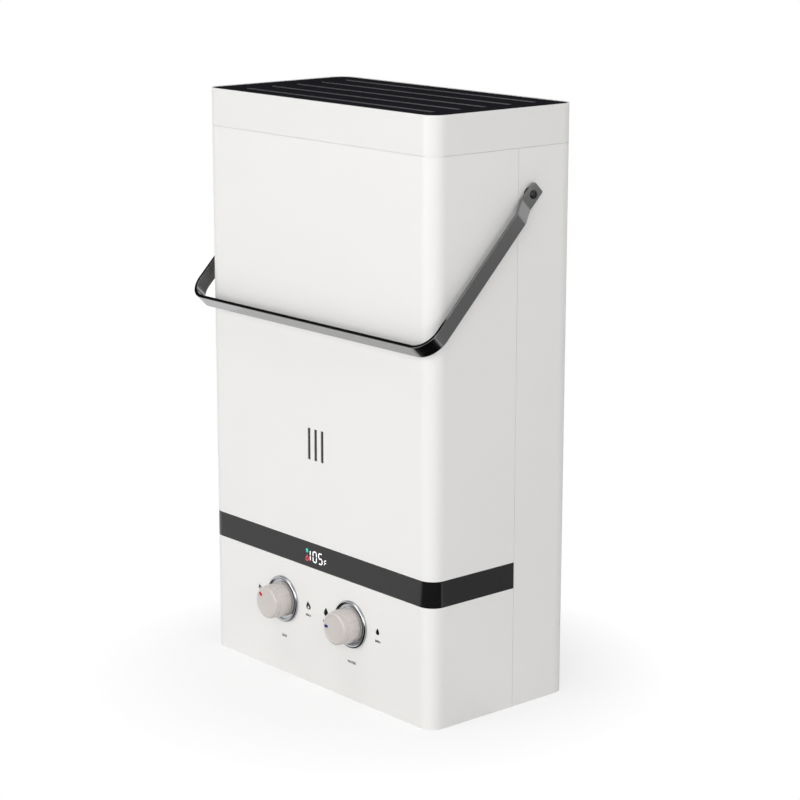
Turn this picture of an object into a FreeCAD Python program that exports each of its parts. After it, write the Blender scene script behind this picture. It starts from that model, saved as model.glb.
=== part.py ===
import FreeCAD, Part
import math
import os

# A portable propane water heater: a tall white sheet steel cabinet with a carry handle and two knobs.
# Millimetres, +Z up, the front faces -Y and the right side is +X.
# The origin is on the floor, below the middle of the whole heater's box, knobs and screw heads included.

V = FreeCAD.Vector

# Cabinet
CABINET_WIDTH = 349.25
CABINET_DEPTH = 184.15
CABINET_HEIGHT = 596.9
CORNER_RADIUS = 16.0
SHEET = 0.8
CAP_HEIGHT = 38.0
CAP_WALL = 1.7
CAP_SKIRT = 10.0
SEAM_FROM_BACK = 75.8
SEAM_GAP = 0.5
LAP_WIDTH = 12.0
LAP_GAP = 0.05
BOTTOM_LIP = 8.0

# Clearances
SLIP_FIT = 0.1
RUNNING_FIT = 0.05
SCREW_CLEARANCE = 0.2
FREE_GAP = 0.4

# Top grille
GRILLE_THICKNESS = 1.2
GRILLE_RECESS = 0.5
GRILLE_LEDGE = 3.0
GRILLE_SLOT_COUNT = 5
GRILLE_SLOT_LENGTH = 288.0
GRILLE_SLOT_WIDTH = 6.0
GRILLE_SLOT_PITCH = 32.6
GRILLE_LIP_DEPTH = 6.0

# Control band and display
BAND_BOTTOM = 123.8
BAND_HEIGHT = 26.7
BAND_THICKNESS = 1.2
DISPLAY_WIDTH = 46.0
DISPLAY_HEIGHT = 17.0
DISPLAY_DEPTH = 6.0
BOARD_MARGIN = 4.0
BOARD_THICKNESS = 1.6

# Viewing slots with their mica window
VIEW_SLOT_COUNT = 3
VIEW_SLOT_WIDTH = 4.3
VIEW_SLOT_HEIGHT = 32.6
VIEW_SLOT_PITCH = 10.3
VIEW_SLOT_CENTRE_Z = 253.4
MICA_THICKNESS = 0.6
MICA_MARGIN = 7.0

# Knobs, bezels and spindles
KNOB_SPACING = 109.0
KNOB_HEIGHT = 79.8
KNOB_RADIUS = 17.5
KNOB_REACH = 25.5
KNOB_GRIP_RADIUS = 17.0
KNOB_COLLAR = 6.0
KNOB_EDGE_ROUND = 1.6
KNOB_FLATS = 24
KNOB_STAND_OFF = 2.6
BEZEL_RADIUS = 23.7
BEZEL_RIM = 3.2
BEZEL_HEIGHT = 4.2
SPINDLE_RADIUS = 3.0
SPINDLE_FLAT = 1.0
SPINDLE_IN_KNOB = 14.0
SPINDLE_IN_VALVE = 16.0
POINTER_LENGTH = 4.6
POINTER_WIDTH = 1.9
POINTER_DEPTH = 0.7
POINTER_FROM_EDGE = 2.4
GAS_POINTER_ANGLE = 142.0
WATER_POINTER_ANGLE = 180.0

# Carry handle, a bent steel strip on two shoulder screws
HANDLE_PIVOT_FROM_BACK = 62.1
HANDLE_PIVOT_BELOW_TOP = 82.5
HANDLE_HAND_GAP = 9.95
HANDLE_STRIP_WIDTH = 15.0
HANDLE_STRIP_THICKNESS = 3.5
HANDLE_REST_ANGLE = 44.5
HANDLE_END = 9.5
HANDLE_SPACER_LENGTH = 3.6
HANDLE_SPACER_RADIUS = 6.5
HANDLE_ARM_GAP = 9.2
HANDLE_JOGGLE_START = 14.0
HANDLE_JOGGLE_END = 29.0
HANDLE_JOGGLE_ROUND = 7.0
HANDLE_CORNER_ROUND = 27.0
PIVOT_SCREW_RADIUS = 2.5
PIVOT_HEAD_RADIUS = 4.6
PIVOT_HEAD_HEIGHT = 2.0
PIVOT_PLATE_THICKNESS = 2.5

# Back panel
HANG_HOLE_RADIUS = 4.25
HANG_HOLE_SPACING = 220.0
HANG_HOLE_BELOW_TOP = 64.9
VENT_ROWS = 5
VENT_LENGTH = 60.0
VENT_WIDTH = 4.6
VENT_PITCH = 13.0
VENT_BOTTOM_Z = 185.0
VENT_CENTRE_X = 62.0
BACK_SCREW_ACROSS = 7.0
BACK_SCREW_HEAD = 1.6

# Base plate, raised inside the skirt so that the fittings stay clear of the floor
BASE_HEIGHT = 46.0
BASE_THICKNESS = 1.2
BASE_FLANGE = 12.0

# Valve train, on one axis behind the knobs
VALVE_DEPTH = 48.0
GAS_VALVE_WIDTH = 44.0
GAS_VALVE_DEPTH = 40.0
GAS_VALVE_HEIGHT = 42.0
GAS_VALVE_NOSE_RADIUS = 9.0
GAS_VALVE_NOSE = 6.0
SOLENOID_SIZE = 25.0
SOLENOID_LENGTH = 26.0
DIAPHRAGM_RADIUS = 23.0
DIAPHRAGM_THICKNESS = 1.6
CHAMBER_RIM = 7.0
WATER_COVER_LENGTH = 15.0
WATER_DISC_LENGTH = 12.0
WATER_BLOCK_LENGTH = 58.0
WATER_BLOCK_DEPTH = 36.0
WATER_BLOCK_HEIGHT = 34.0
WATER_BLOCK_START = 34.0
VALVE_WALL = 3.0
VALVE_SCREW_ACROSS = 5.5
VALVE_SCREW_HEAD = 2.4
VALVE_SCREW_COUNT = 4
PUSH_ROD_RADIUS = 2.0
PUSH_ROD_TRAVEL = 3.0
PUSH_PLATE_RADIUS = 15.0
PUSH_PLATE_THICKNESS = 2.0
COLLAR_RADIUS = 6.0
COLLAR_THICKNESS = 2.5
YOKE_WIDTH = 26.0
YOKE_THICKNESS = 2.0
YOKE_RISE = 15.0
SWITCH_LENGTH = 20.0
SWITCH_WIDTH = 10.0
SWITCH_HEIGHT = 11.0
SWITCH_BUTTON = 3.0

# Hose fittings: garden hose thread for the water, 45 degree flare for the gas
HOSE_THREAD_RADIUS = 13.49
HOSE_NECK_RADIUS = 11.0
HOSE_BORE_RADIUS = 8.0
FLARE_THREAD_RADIUS = 7.94
FLARE_NECK_RADIUS = 6.4
FLARE_BORE_RADIUS = 3.2
FLARE_BORE_DEPTH = 12.0
FLARE_NOSE_RADIUS = 4.6
FITTING_CLEAR_OF_FLOOR = 8.0
THREAD_LENGTH = 16.0
COLLAR_MARGIN = 4.0
WATER_INLET_X = 58.0
HOT_OUTLET_X = 146.0
OUTLET_COLLAR_HEIGHT = 12.0
HOSE_BORE_DEPTH = 18.0
DRAIN_X = 85.0
DRAIN_RADIUS = 5.0
DRAIN_ACROSS = 13.0
DRAIN_HEAD = 9.0

# Burner
BURNER_BOTTOM = 160.0
BURNER_HEIGHT = 72.0
BURNER_WIDTH = 238.0
BURNER_DEPTH = 110.0
BURNER_FROM_BACK = 17.0
BURNER_SHEET = 1.0
BURNER_BAR_COUNT = 8
BURNER_BAR_WIDTH = 17.0
BURNER_BAR_THROAT = 8.0
BURNER_BAR_HEIGHT = 58.0
BURNER_PORT_WIDTH = 3.0
BURNER_PORT_DEPTH = 5.0
MANIFOLD_SIZE = 14.0
MANIFOLD_RISE = 8.0
NOZZLE_ACROSS = 6.0
NOZZLE_LENGTH = 5.0
NOZZLE_GAP = 2.0
FEED_PIPE_RADIUS = 6.5
BRACKET_WIDTH = 22.0
BRACKET_THICKNESS = 2.0
BRACKET_FOOT = 14.0
BRACKET_SPACING = 150.0

# Combustion chamber, fins and water tube
CHAMBER_SHEET = 1.0
CHAMBER_HEIGHT = 208.0
SIGHT_HOLE_WIDTH = 40.0
SIGHT_HOLE_HEIGHT = 34.0
FIN_COUNT = 9
FIN_PITCH = 25.0
FIN_HEIGHT = 32.0
FIN_THICKNESS = 0.8
FIN_TOP_GAP = 4.0
WATER_TUBE_RADIUS = 6.0
TUBE_TURN = 12.0
TUBE_PITCH = 44.0
COIL_LOW_Z = 300.0
COIL_STEP = 40.0
TUBE_STAND_OFF = 0.1

# Flue hood
HOOD_SHEET = 0.8
HOOD_TOP_WIDTH = 300.0
HOOD_TOP_DEPTH = 140.0
HOOD_COLLAR = 8.0
HOOD_GAP_BELOW_GRILLE = 1.0

# Electrodes, sensors and controls
ELECTRODE_HEIGHT = 14.0
ELECTRODE_X = -62.0
SENSOR_X = 62.0
CERAMIC_RADIUS = 3.4
CERAMIC_LENGTH = 26.0
PIN_ACROSS = 2.4
PIN_LENGTH = 26.0
CLAMP_THICKNESS = 2.0
CLAMP_MARGIN = 6.0
CONTROLLER_WIDTH = 86.0
CONTROLLER_DEPTH = 26.0
CONTROLLER_HEIGHT = 56.0
CONTROLLER_X = 88.0
CONTROLLER_Z = 98.0
TILT_SWITCH_SIZE = 22.0
TILT_SWITCH_HEIGHT = 26.0
TILT_SWITCH_X = 10.0
THERMOSTAT_RADIUS = 8.0
THERMOSTAT_HEIGHT = 9.0
THERMOSTAT_X = 84.0
THERMOSTAT_Z = 382.0

# Battery box with its door, on the base plate
CELL_RADIUS = 16.8
CELL_LENGTH = 60.0
CELL_CAP_ACROSS = 9.0
CELL_CAP_HEIGHT = 1.5
CELL_COUNT = 2
CELL_GAP = 1.0
BATTERY_WALL = 1.8
BATTERY_BOX_X = -128.0
BATTERY_BOX_DEPTH_IN = 48.0
BATTERY_FLANGE = 5.0
BATTERY_FLANGE_THICKNESS = 1.6
DOOR_THICKNESS = 2.0
DOOR_GAP = 0.3
HINGE_LUG_THICKNESS = 3.0
HINGE_LUG_RADIUS = 2.8
LATCH_WIDTH = 14.0
LATCH_THICKNESS = 1.4

# Places worked out from the values above
BOX_MIDDLE_SHIFT = (KNOB_REACH - BACK_SCREW_HEAD) / 2
FRONT_Y = BOX_MIDDLE_SHIFT - CABINET_DEPTH / 2
BACK_Y = BOX_MIDDLE_SHIFT + CABINET_DEPTH / 2
SIDE_X = CABINET_WIDTH / 2
INNER_BACK_Y = BACK_Y - SHEET
SEAM_Y = BACK_Y - SEAM_FROM_BACK
CAP_Z = CABINET_HEIGHT - CAP_HEIGHT
BAND_TOP = BAND_BOTTOM + BAND_HEIGHT
BAND_BACKING = BAND_THICKNESS + SHEET
BASE_TOP = BASE_HEIGHT + BASE_THICKNESS
BASE_SIDE_INSET = 2 * SHEET + LAP_GAP + SLIP_FIT
GAS_X = -KNOB_SPACING / 2
WATER_X = KNOB_SPACING / 2
VALVE_Y = FRONT_Y + VALVE_DEPTH
FLARE_NOSE = FLARE_THREAD_RADIUS - FLARE_NOSE_RADIUS
GAS_VALVE_LEFT = GAS_X - GAS_VALVE_WIDTH / 2
GAS_VALVE_RIGHT = GAS_X + GAS_VALVE_WIDTH / 2
GAS_VALVE_BOTTOM = KNOB_HEIGHT - GAS_VALVE_HEIGHT / 2
GAS_VALVE_TOP = KNOB_HEIGHT + GAS_VALVE_HEIGHT / 2
GAS_VALVE_FRONT = VALVE_Y - GAS_VALVE_DEPTH / 2
GAS_VALVE_BACK = VALVE_Y + GAS_VALVE_DEPTH / 2
WATER_BLOCK_END = WATER_BLOCK_START + WATER_BLOCK_LENGTH
WATER_BLOCK_BOTTOM = KNOB_HEIGHT - WATER_BLOCK_HEIGHT / 2
WATER_BLOCK_FRONT = VALVE_Y - WATER_BLOCK_DEPTH / 2
DIAPHRAGM_X = WATER_BLOCK_START - WATER_DISC_LENGTH
WATER_COVER_LEFT = DIAPHRAGM_X - WATER_COVER_LENGTH
WATER_RIM_RADIUS = DIAPHRAGM_RADIUS + CHAMBER_RIM
BURNER_BACK_Y = INNER_BACK_Y - BURNER_FROM_BACK
BURNER_FRONT_Y = BURNER_BACK_Y - BURNER_DEPTH
BURNER_MIDDLE_Y = (BURNER_BACK_Y + BURNER_FRONT_Y) / 2
BURNER_TOP = BURNER_BOTTOM + BURNER_HEIGHT
BURNER_SIDE_X = BURNER_WIDTH / 2
MANIFOLD_BOTTOM = BURNER_BOTTOM + MANIFOLD_RISE
CHAMBER_TOP = BURNER_TOP + CHAMBER_HEIGHT
FIN_TOP = CHAMBER_TOP - FIN_TOP_GAP
FIN_BOTTOM = FIN_TOP - FIN_HEIGHT
FIN_TUBE_Z = (FIN_TOP + FIN_BOTTOM) / 2
TUBE_OUT = WATER_TUBE_RADIUS + TUBE_STAND_OFF
HOT_OUTLET_Y = BURNER_MIDDLE_Y + TUBE_PITCH / 2
GRILLE_TOP = CABINET_HEIGHT - GRILLE_RECESS
GRILLE_BOTTOM = GRILLE_TOP - GRILLE_THICKNESS
PIVOT_Y = BACK_Y - HANDLE_PIVOT_FROM_BACK
PIVOT_Z = CABINET_HEIGHT - HANDLE_PIVOT_BELOW_TOP
HANG_HOLE_Z = CABINET_HEIGHT - HANG_HOLE_BELOW_TOP
STRIP_INNER_AT_PIVOT = SIDE_X + HANDLE_SPACER_LENGTH
BATTERY_INNER_WIDTH = CELL_COUNT * 2 * CELL_RADIUS + (CELL_COUNT + 1) * CELL_GAP
BATTERY_INNER_DEPTH = 2 * CELL_RADIUS + 2 * CELL_GAP
BATTERY_Y = FRONT_Y + BATTERY_BOX_DEPTH_IN
BATTERY_FLANGE_BOTTOM = BASE_HEIGHT - BATTERY_FLANGE_THICKNESS
DOOR_TOP = BATTERY_FLANGE_BOTTOM - DOOR_GAP
HINGE_PIN_RADIUS = DOOR_THICKNESS / 2
DOOR_MIDDLE_Z = DOOR_TOP - HINGE_PIN_RADIUS


def box(x0, x1, y0, y1, z0, z1):
    """Block between two corners."""
    return Part.makeBox(x1 - x0, y1 - y0, z1 - z0, V(x0, y0, z0))


def rod(start, direction, radius, length):
    """Round bar from a start point."""
    return Part.makeCylinder(radius, length, start, direction)


def flat_sided_bar(sides, across_flats, height):
    """Bar along +Z from the origin with a regular section, one flat facing -X."""
    corner = across_flats / 2 / math.cos(math.pi / sides)
    turns = [2 * math.pi * (i + 0.5) / sides for i in range(sides + 1)]
    points = [V(corner * math.cos(turn), corner * math.sin(turn), 0) for turn in turns]
    return Part.Face(Part.makePolygon(points)).extrude(V(0, 0, height))


def hexagon(x, y, z, across_flats, height):
    """Upright hexagonal bar."""
    bar = flat_sided_bar(6, across_flats, height)
    bar.translate(V(x, y, z))
    return bar


def rounded_rectangle(x0, x1, y0, y1, radius, z):
    """Closed outline in a level plane with four round corners."""
    corners = [(x1 - radius, y1 - radius, 0), (x0 + radius, y1 - radius, 90),
               (x0 + radius, y0 + radius, 180), (x1 - radius, y0 + radius, 270)]
    arcs = [Part.Arc(*[V(cx + radius * math.cos(math.radians(start + turn)),
                         cy + radius * math.sin(math.radians(start + turn)), z)
                       for turn in (0, 45, 90)]) for cx, cy, start in corners]
    edges = []
    for arc, following in zip(arcs, arcs[1:] + arcs[:1]):
        edges.append(arc.toShape())
        if (arc.EndPoint - following.StartPoint).Length > 1e-6:
            edges.append(Part.LineSegment(arc.EndPoint, following.StartPoint).toShape())
    return Part.Wire(edges)


def cabinet_block(inset, z0, z1):
    """Solid of the cabinet's outline, drawn in by an inset."""
    wire = rounded_rectangle(-SIDE_X + inset, SIDE_X - inset, FRONT_Y + inset, BACK_Y - inset,
                             CORNER_RADIUS - inset, z0)
    return Part.Face(wire).extrude(V(0, 0, z1 - z0))


def cabinet_ring(outer_inset, inner_inset, z0, z1):
    """Upright wall that follows the cabinet's outline."""
    return cabinet_block(outer_inset, z0, z1).cut(cabinet_block(inner_inset, z0 - 1, z1 + 1))


def half_space(y0, y1):
    """Block across the whole cabinet between two depths."""
    return box(-SIDE_X - 1, SIDE_X + 1, y0, y1, -1, CABINET_HEIGHT + 1)


def elbowed_tube(points, radius):
    """Round tube along straight runs, with a mitred elbow at each inner point."""
    section = Part.Wire(Part.makeCircle(radius, points[0], points[1] - points[0]))
    mitred = 1
    return Part.makePolygon(points).makePipeShell([section], True, False, mitred)


def strip_outline(points, radii, thickness):
    """Face of a bent strip seen on edge, from its centre line and the round of each bend."""
    sides = []
    for hand in (1, -1):
        edges = []
        normal = hand * thickness / 2
        first_run = (points[1] - points[0]).normalize()
        start = points[0] + V(-first_run.y, first_run.x, 0) * normal
        for before, corner, after, radius in zip(points, points[1:], points[2:], radii):
            into = (corner - before).normalize()
            out = (after - corner).normalize()
            bend_left = into.cross(out).z > 0
            turn = into.getAngle(out)
            reach = radius * math.tan(turn / 2)
            toward = (out - into).normalize()
            centre = corner + toward * (radius / math.cos(turn / 2))
            arc_radius = radius - normal if bend_left else radius + normal
            arc_points = [centre + (p - centre).normalize() * arc_radius
                          for p in (corner - into * reach, corner, corner + out * reach)]
            edges.append(Part.LineSegment(start, arc_points[0]).toShape())
            edges.append(Part.Arc(*arc_points).toShape())
            start = arc_points[2]
        last_run = (points[-1] - points[-2]).normalize()
        end = points[-1] + V(-last_run.y, last_run.x, 0) * normal
        edges.append(Part.LineSegment(start, end).toShape())
        sides.append((edges, edges[0].Vertexes[0].Point, end))
    (left, left_start, left_end), (right, right_start, right_end) = sides
    ends = [Part.LineSegment(left_end, right_end).toShape(),
            Part.LineSegment(left_start, right_start).toShape()]
    return Part.Face(Part.Wire(Part.__sortEdges__(left + right + ends)))


def face_forward(shape, x, y, z):
    """Turn a part built along +Z so that it points out of the front, and place it."""
    shape = shape.copy()
    shape.rotate(V(0, 0, 0), V(1, 0, 0), 90)
    shape.translate(V(x, y, z))
    return shape


def mirrored(shape):
    """The same piece on the other side of the cabinet."""
    return shape.mirror(V(0, 0, 0), V(1, 0, 0))


def group(shapes):
    """Several separate solids kept as one node."""
    return Part.makeCompound(shapes)


def spread(count, pitch):
    """Centred positions of an evenly spaced row."""
    return [(i - (count - 1) / 2) * pitch for i in range(count)]


# Casing


def view_slot_places():
    return spread(VIEW_SLOT_COUNT, VIEW_SLOT_PITCH)


def make_front_cover():
    """Folded front with both side returns, a step behind the control band and a bottom lip."""
    top = CAP_Z - SEAM_GAP / 2
    wall = cabinet_ring(0, SHEET, 0, BAND_BOTTOM).fuse([
        cabinet_ring(0, SHEET, BAND_TOP, top),
        cabinet_ring(BAND_THICKNESS, BAND_BACKING, BAND_BOTTOM - SHEET, BAND_TOP + SHEET),
        cabinet_ring(0, BAND_BACKING, BAND_BOTTOM - SHEET, BAND_BOTTOM),
        cabinet_ring(0, BAND_BACKING, BAND_TOP, BAND_TOP + SHEET)])
    cover = wall.common(half_space(FRONT_Y - 1, SEAM_Y))
    lip = cabinet_ring(SHEET / 2, SHEET + BOTTOM_LIP, 0, SHEET)
    cover = cover.fuse(lip.common(half_space(FRONT_Y - 1, SEAM_Y - LAP_WIDTH - FREE_GAP)))
    cuts = [box(x - VIEW_SLOT_WIDTH / 2, x + VIEW_SLOT_WIDTH / 2, FRONT_Y - 1, FRONT_Y + SHEET + 1,
                VIEW_SLOT_CENTRE_Z - VIEW_SLOT_HEIGHT / 2, VIEW_SLOT_CENTRE_Z + VIEW_SLOT_HEIGHT / 2)
            for x in view_slot_places()]
    cuts += [rod(V(x, FRONT_Y - 1, KNOB_HEIGHT), V(0, 1, 0), SPINDLE_RADIUS + FREE_GAP, SHEET + 2)
             for x in (GAS_X, WATER_X)]
    cuts.append(display_block(SLIP_FIT))
    return cover.cut(cuts).removeSplitter()


def make_rear_casing():
    """Folded back with side returns, lap flanges under the front cover, vents and hanging holes."""
    top = CAP_Z - SEAM_GAP / 2
    start = SEAM_Y + SEAM_GAP
    casing = cabinet_ring(0, SHEET, 0, top).common(half_space(start, BACK_Y + 1))
    lip = cabinet_ring(SHEET / 2, SHEET + BOTTOM_LIP, 0, SHEET)
    casing = casing.fuse(lip.common(half_space(start + SHEET, BACK_Y + 1)))
    lap_out = SIDE_X - SHEET - LAP_GAP
    lap_in = lap_out - SHEET
    flange_top = CAP_Z - CAP_SKIRT - FREE_GAP
    flange = box(lap_in, lap_out, SEAM_Y - LAP_WIDTH, start + SHEET, 0, flange_top)
    fold = box(lap_in, SIDE_X - SHEET / 2, start, start + SHEET, 0, flange_top)
    notch = box(lap_in - 1, lap_out + 1, SEAM_Y - LAP_WIDTH - 1, start,
                BAND_BOTTOM - SHEET - FREE_GAP, BAND_TOP + SHEET + FREE_GAP)
    lap = flange.cut(notch).fuse(fold)
    casing = casing.fuse([lap, mirrored(lap)] + back_screw_heads())
    return casing.cut(back_holes() + [pivot_hole(1), pivot_hole(-1)]).removeSplitter()


def vent_places():
    """Centres of the air slots in the back, two columns."""
    return [(x, VENT_BOTTOM_Z + row * VENT_PITCH)
            for x in (-VENT_CENTRE_X, VENT_CENTRE_X) for row in range(VENT_ROWS)]


def hang_places():
    """Holes near the top of the back that hang the heater on two wall screws."""
    return [(x, HANG_HOLE_Z) for x in spread(2, HANG_HOLE_SPACING)]


def back_screw_heads():
    """Hexagon heads of the screws into the base plate's flange and the upper brackets."""
    heads = []
    for x in bracket_places():
        for z in (BASE_TOP + BASE_FLANGE / 2, bracket_heights()[1] + BRACKET_FOOT / 2):
            head = flat_sided_bar(6, BACK_SCREW_ACROSS, BACK_SCREW_HEAD + SHEET / 2)
            head.rotate(V(0, 0, 0), V(1, 0, 0), -90)
            head.translate(V(x, BACK_Y - SHEET / 2, z))
            heads.append(head)
    return heads


def back_holes():
    """Every opening in the back panel."""
    y0 = INNER_BACK_Y - 1
    y1 = BACK_Y + 1
    vents = [box(x - VENT_LENGTH / 2, x + VENT_LENGTH / 2, y0, y1, z, z + VENT_WIDTH)
             for x, z in vent_places()]
    hangers = [rod(V(x, y0, z), V(0, 1, 0), HANG_HOLE_RADIUS, SHEET + 2) for x, z in hang_places()]
    return vents + hangers


def pivot_hole(hand):
    """Hole in one side for the handle's shoulder screw."""
    start = V(hand * (SIDE_X - SHEET - 1), PIVOT_Y, PIVOT_Z)
    return rod(start, V(hand, 0, 0), PIVOT_SCREW_RADIUS + SCREW_CLEARANCE, SHEET + 2)


def make_top_cap():
    """White collar round the top, with a skirt inside the casing and a ledge for the grille."""
    wall = cabinet_ring(0, CAP_WALL, CAP_Z + SEAM_GAP / 2, CABINET_HEIGHT)
    skirt = cabinet_ring(SHEET + SLIP_FIT, CAP_WALL, CAP_Z - CAP_SKIRT, CAP_Z + SEAM_GAP)
    ledge = cabinet_ring(CAP_WALL / 2, CAP_WALL + GRILLE_LEDGE, GRILLE_BOTTOM - CAP_WALL, GRILLE_BOTTOM)
    return wall.fuse([skirt, ledge]).removeSplitter()


def make_top_grille():
    """Black plate with long exhaust slots, each with a lip folded down along its rear edge."""
    plate = cabinet_block(CAP_WALL + SLIP_FIT, GRILLE_BOTTOM, GRILLE_TOP)
    middle_y = (FRONT_Y + BACK_Y) / 2
    lips = []
    for offset in spread(GRILLE_SLOT_COUNT, GRILLE_SLOT_PITCH):
        y = middle_y + offset
        half = GRILLE_SLOT_LENGTH / 2
        lip_y = y + GRILLE_SLOT_WIDTH / 2
        plate = plate.cut(box(-half, half, y - GRILLE_SLOT_WIDTH / 2, lip_y,
                              GRILLE_BOTTOM - 1, GRILLE_TOP + 1))
        lips.append(box(-half, half, lip_y, lip_y + GRILLE_THICKNESS,
                        GRILLE_BOTTOM - GRILLE_LIP_DEPTH, GRILLE_BOTTOM + GRILLE_THICKNESS / 2))
    return plate.fuse(lips).removeSplitter()


def make_control_band():
    """Dark strip let in flush round the front and both sides up to the seams."""
    band = cabinet_ring(0, BAND_THICKNESS, BAND_BOTTOM + SLIP_FIT, BAND_TOP - SLIP_FIT)
    return band.common(half_space(FRONT_Y - 1, SEAM_Y))


def display_block(margin):
    """Display behind the band, or with a margin the window that it fills."""
    z = BAND_BOTTOM + BAND_HEIGHT / 2
    start = FRONT_Y + BAND_THICKNESS
    return box(-DISPLAY_WIDTH / 2 - margin, DISPLAY_WIDTH / 2 + margin, start, start + DISPLAY_DEPTH,
               z - DISPLAY_HEIGHT / 2 - margin, z + DISPLAY_HEIGHT / 2 + margin)


def make_display_module():
    """Display in the cover's window on a board that rests against the cover's back."""
    z = BAND_BOTTOM + BAND_HEIGHT / 2
    half_width = DISPLAY_WIDTH / 2 + BOARD_MARGIN
    half_height = DISPLAY_HEIGHT / 2 + BOARD_MARGIN
    start = FRONT_Y + BAND_BACKING
    board = box(-half_width, half_width, start, start + BOARD_THICKNESS, z - half_height, z + half_height)
    return board.fuse(display_block(0)).removeSplitter()


def make_flame_window():
    """Mica sheet behind the three viewing slots."""
    half_width = (VIEW_SLOT_COUNT - 1) * VIEW_SLOT_PITCH / 2 + VIEW_SLOT_WIDTH / 2 + MICA_MARGIN
    half_height = VIEW_SLOT_HEIGHT / 2 + MICA_MARGIN
    start = FRONT_Y + SHEET
    return box(-half_width, half_width, start, start + MICA_THICKNESS,
               VIEW_SLOT_CENTRE_Z - half_height, VIEW_SLOT_CENTRE_Z + half_height)


def fitting_places():
    """Place and hole radius of each fitting that passes through the base plate."""
    return [(WATER_INLET_X, VALVE_Y, HOSE_THREAD_RADIUS), (GAS_X, VALVE_Y, FLARE_THREAD_RADIUS),
            (HOT_OUTLET_X, HOT_OUTLET_Y, HOSE_THREAD_RADIUS), (DRAIN_X, VALVE_Y, DRAIN_RADIUS)]


def make_base_plate():
    """Raised bottom with a flange against the back and holes for the fittings and the battery box."""
    x = SIDE_X - BASE_SIDE_INSET
    wire = rounded_rectangle(-x, x, FRONT_Y + SHEET + SLIP_FIT, INNER_BACK_Y, CORNER_RADIUS, BASE_HEIGHT)
    plate = Part.Face(wire).extrude(V(0, 0, BASE_THICKNESS))
    flat_x = SIDE_X - CORNER_RADIUS - SHEET - SLIP_FIT
    flange = box(-flat_x, flat_x, INNER_BACK_Y - BASE_THICKNESS, INNER_BACK_Y,
                 BASE_HEIGHT, BASE_TOP + BASE_FLANGE)
    plate = plate.fuse(flange)
    cuts = [rod(V(fx, fy, BASE_HEIGHT - 1), V(0, 0, 1), radius + SLIP_FIT, BASE_THICKNESS + 2)
            for fx, fy, radius in fitting_places()]
    cuts.append(battery_body(SLIP_FIT))
    return plate.cut(cuts).removeSplitter()


# Knobs


def bezel(x):
    """Raised ring on the front cover round a knob."""
    ring = rod(V(x, FRONT_Y, KNOB_HEIGHT), V(0, -1, 0), BEZEL_RADIUS, BEZEL_HEIGHT)
    hole = rod(V(x, FRONT_Y, KNOB_HEIGHT), V(0, -1, 0), BEZEL_RADIUS - BEZEL_RIM, BEZEL_HEIGHT)
    return ring.cut(hole)


def make_knob_bezels():
    """Both bezels."""
    return group([bezel(x) for x in (GAS_X, WATER_X)])


def d_shaft(radius, flat, z0, z1):
    """Round shaft with one flat along it."""
    shaft = Part.makeCylinder(radius, z1 - z0, V(0, 0, z0))
    return shaft.cut(box(-radius - 1, radius + 1, radius - flat, radius + 1, z0 - 1, z1 + 1))


def pointer_block(angle, margin):
    """Inlay near the rim of the knob's face, or with a margin its pocket."""
    outer = KNOB_RADIUS - POINTER_FROM_EDGE
    top = KNOB_REACH if margin == 0 else KNOB_REACH + 1
    block = box(outer - POINTER_LENGTH - margin, outer + margin, -POINTER_WIDTH / 2 - margin,
                POINTER_WIDTH / 2 + margin, KNOB_REACH - POINTER_DEPTH, top)
    block.rotate(V(0, 0, 0), V(0, 0, 1), angle)
    return block


def knob(angle):
    """Fluted grip with a wider face collar, a bevelled front edge and a D shaped bore."""
    collar_start = KNOB_REACH - KNOB_COLLAR
    bevel_start = KNOB_REACH - KNOB_EDGE_ROUND
    grip = knob_section(KNOB_GRIP_RADIUS, KNOB_STAND_OFF, collar_start)
    collar = knob_section(KNOB_RADIUS, collar_start, bevel_start)
    bevel = flat_sided_block(knob_corners(KNOB_RADIUS, bevel_start),
                             knob_corners(KNOB_RADIUS - KNOB_EDGE_ROUND, KNOB_REACH))
    bore = d_shaft(SPINDLE_RADIUS + RUNNING_FIT, SPINDLE_FLAT, KNOB_STAND_OFF - 1,
                   KNOB_STAND_OFF + SPINDLE_IN_KNOB)
    return grip.fuse([collar, bevel]).cut([bore, pointer_block(angle, RUNNING_FIT)]).removeSplitter()


def knob_corners(radius, z):
    """Corners of the knob's flats at one height."""
    turns = [2 * math.pi * i / KNOB_FLATS for i in range(KNOB_FLATS)]
    return [V(radius * math.cos(turn), radius * math.sin(turn), z) for turn in turns]


def knob_section(radius, z0, z1):
    """Straight length of the knob."""
    return flat_sided_block(knob_corners(radius, z0), knob_corners(radius, z1))


def spindle(valve_front):
    """D shaped valve spindle from inside the valve to inside the knob."""
    depth = valve_front - FRONT_Y + SPINDLE_IN_VALVE
    return d_shaft(SPINDLE_RADIUS, SPINDLE_FLAT, -depth, KNOB_STAND_OFF + SPINDLE_IN_KNOB - FREE_GAP)


# Carry handle


def handle_reach():
    """Pivot to crossbar, so that the crossbar at rest leaves room for fingers in front of the cover."""
    lean = math.radians(HANDLE_REST_ANGLE)
    half_strip = HANDLE_STRIP_WIDTH / 2 * math.sin(lean) + HANDLE_STRIP_THICKNESS / 2 * math.cos(lean)
    return (PIVOT_Y - FRONT_Y + HANDLE_HAND_GAP + half_strip) / math.cos(lean)


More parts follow.
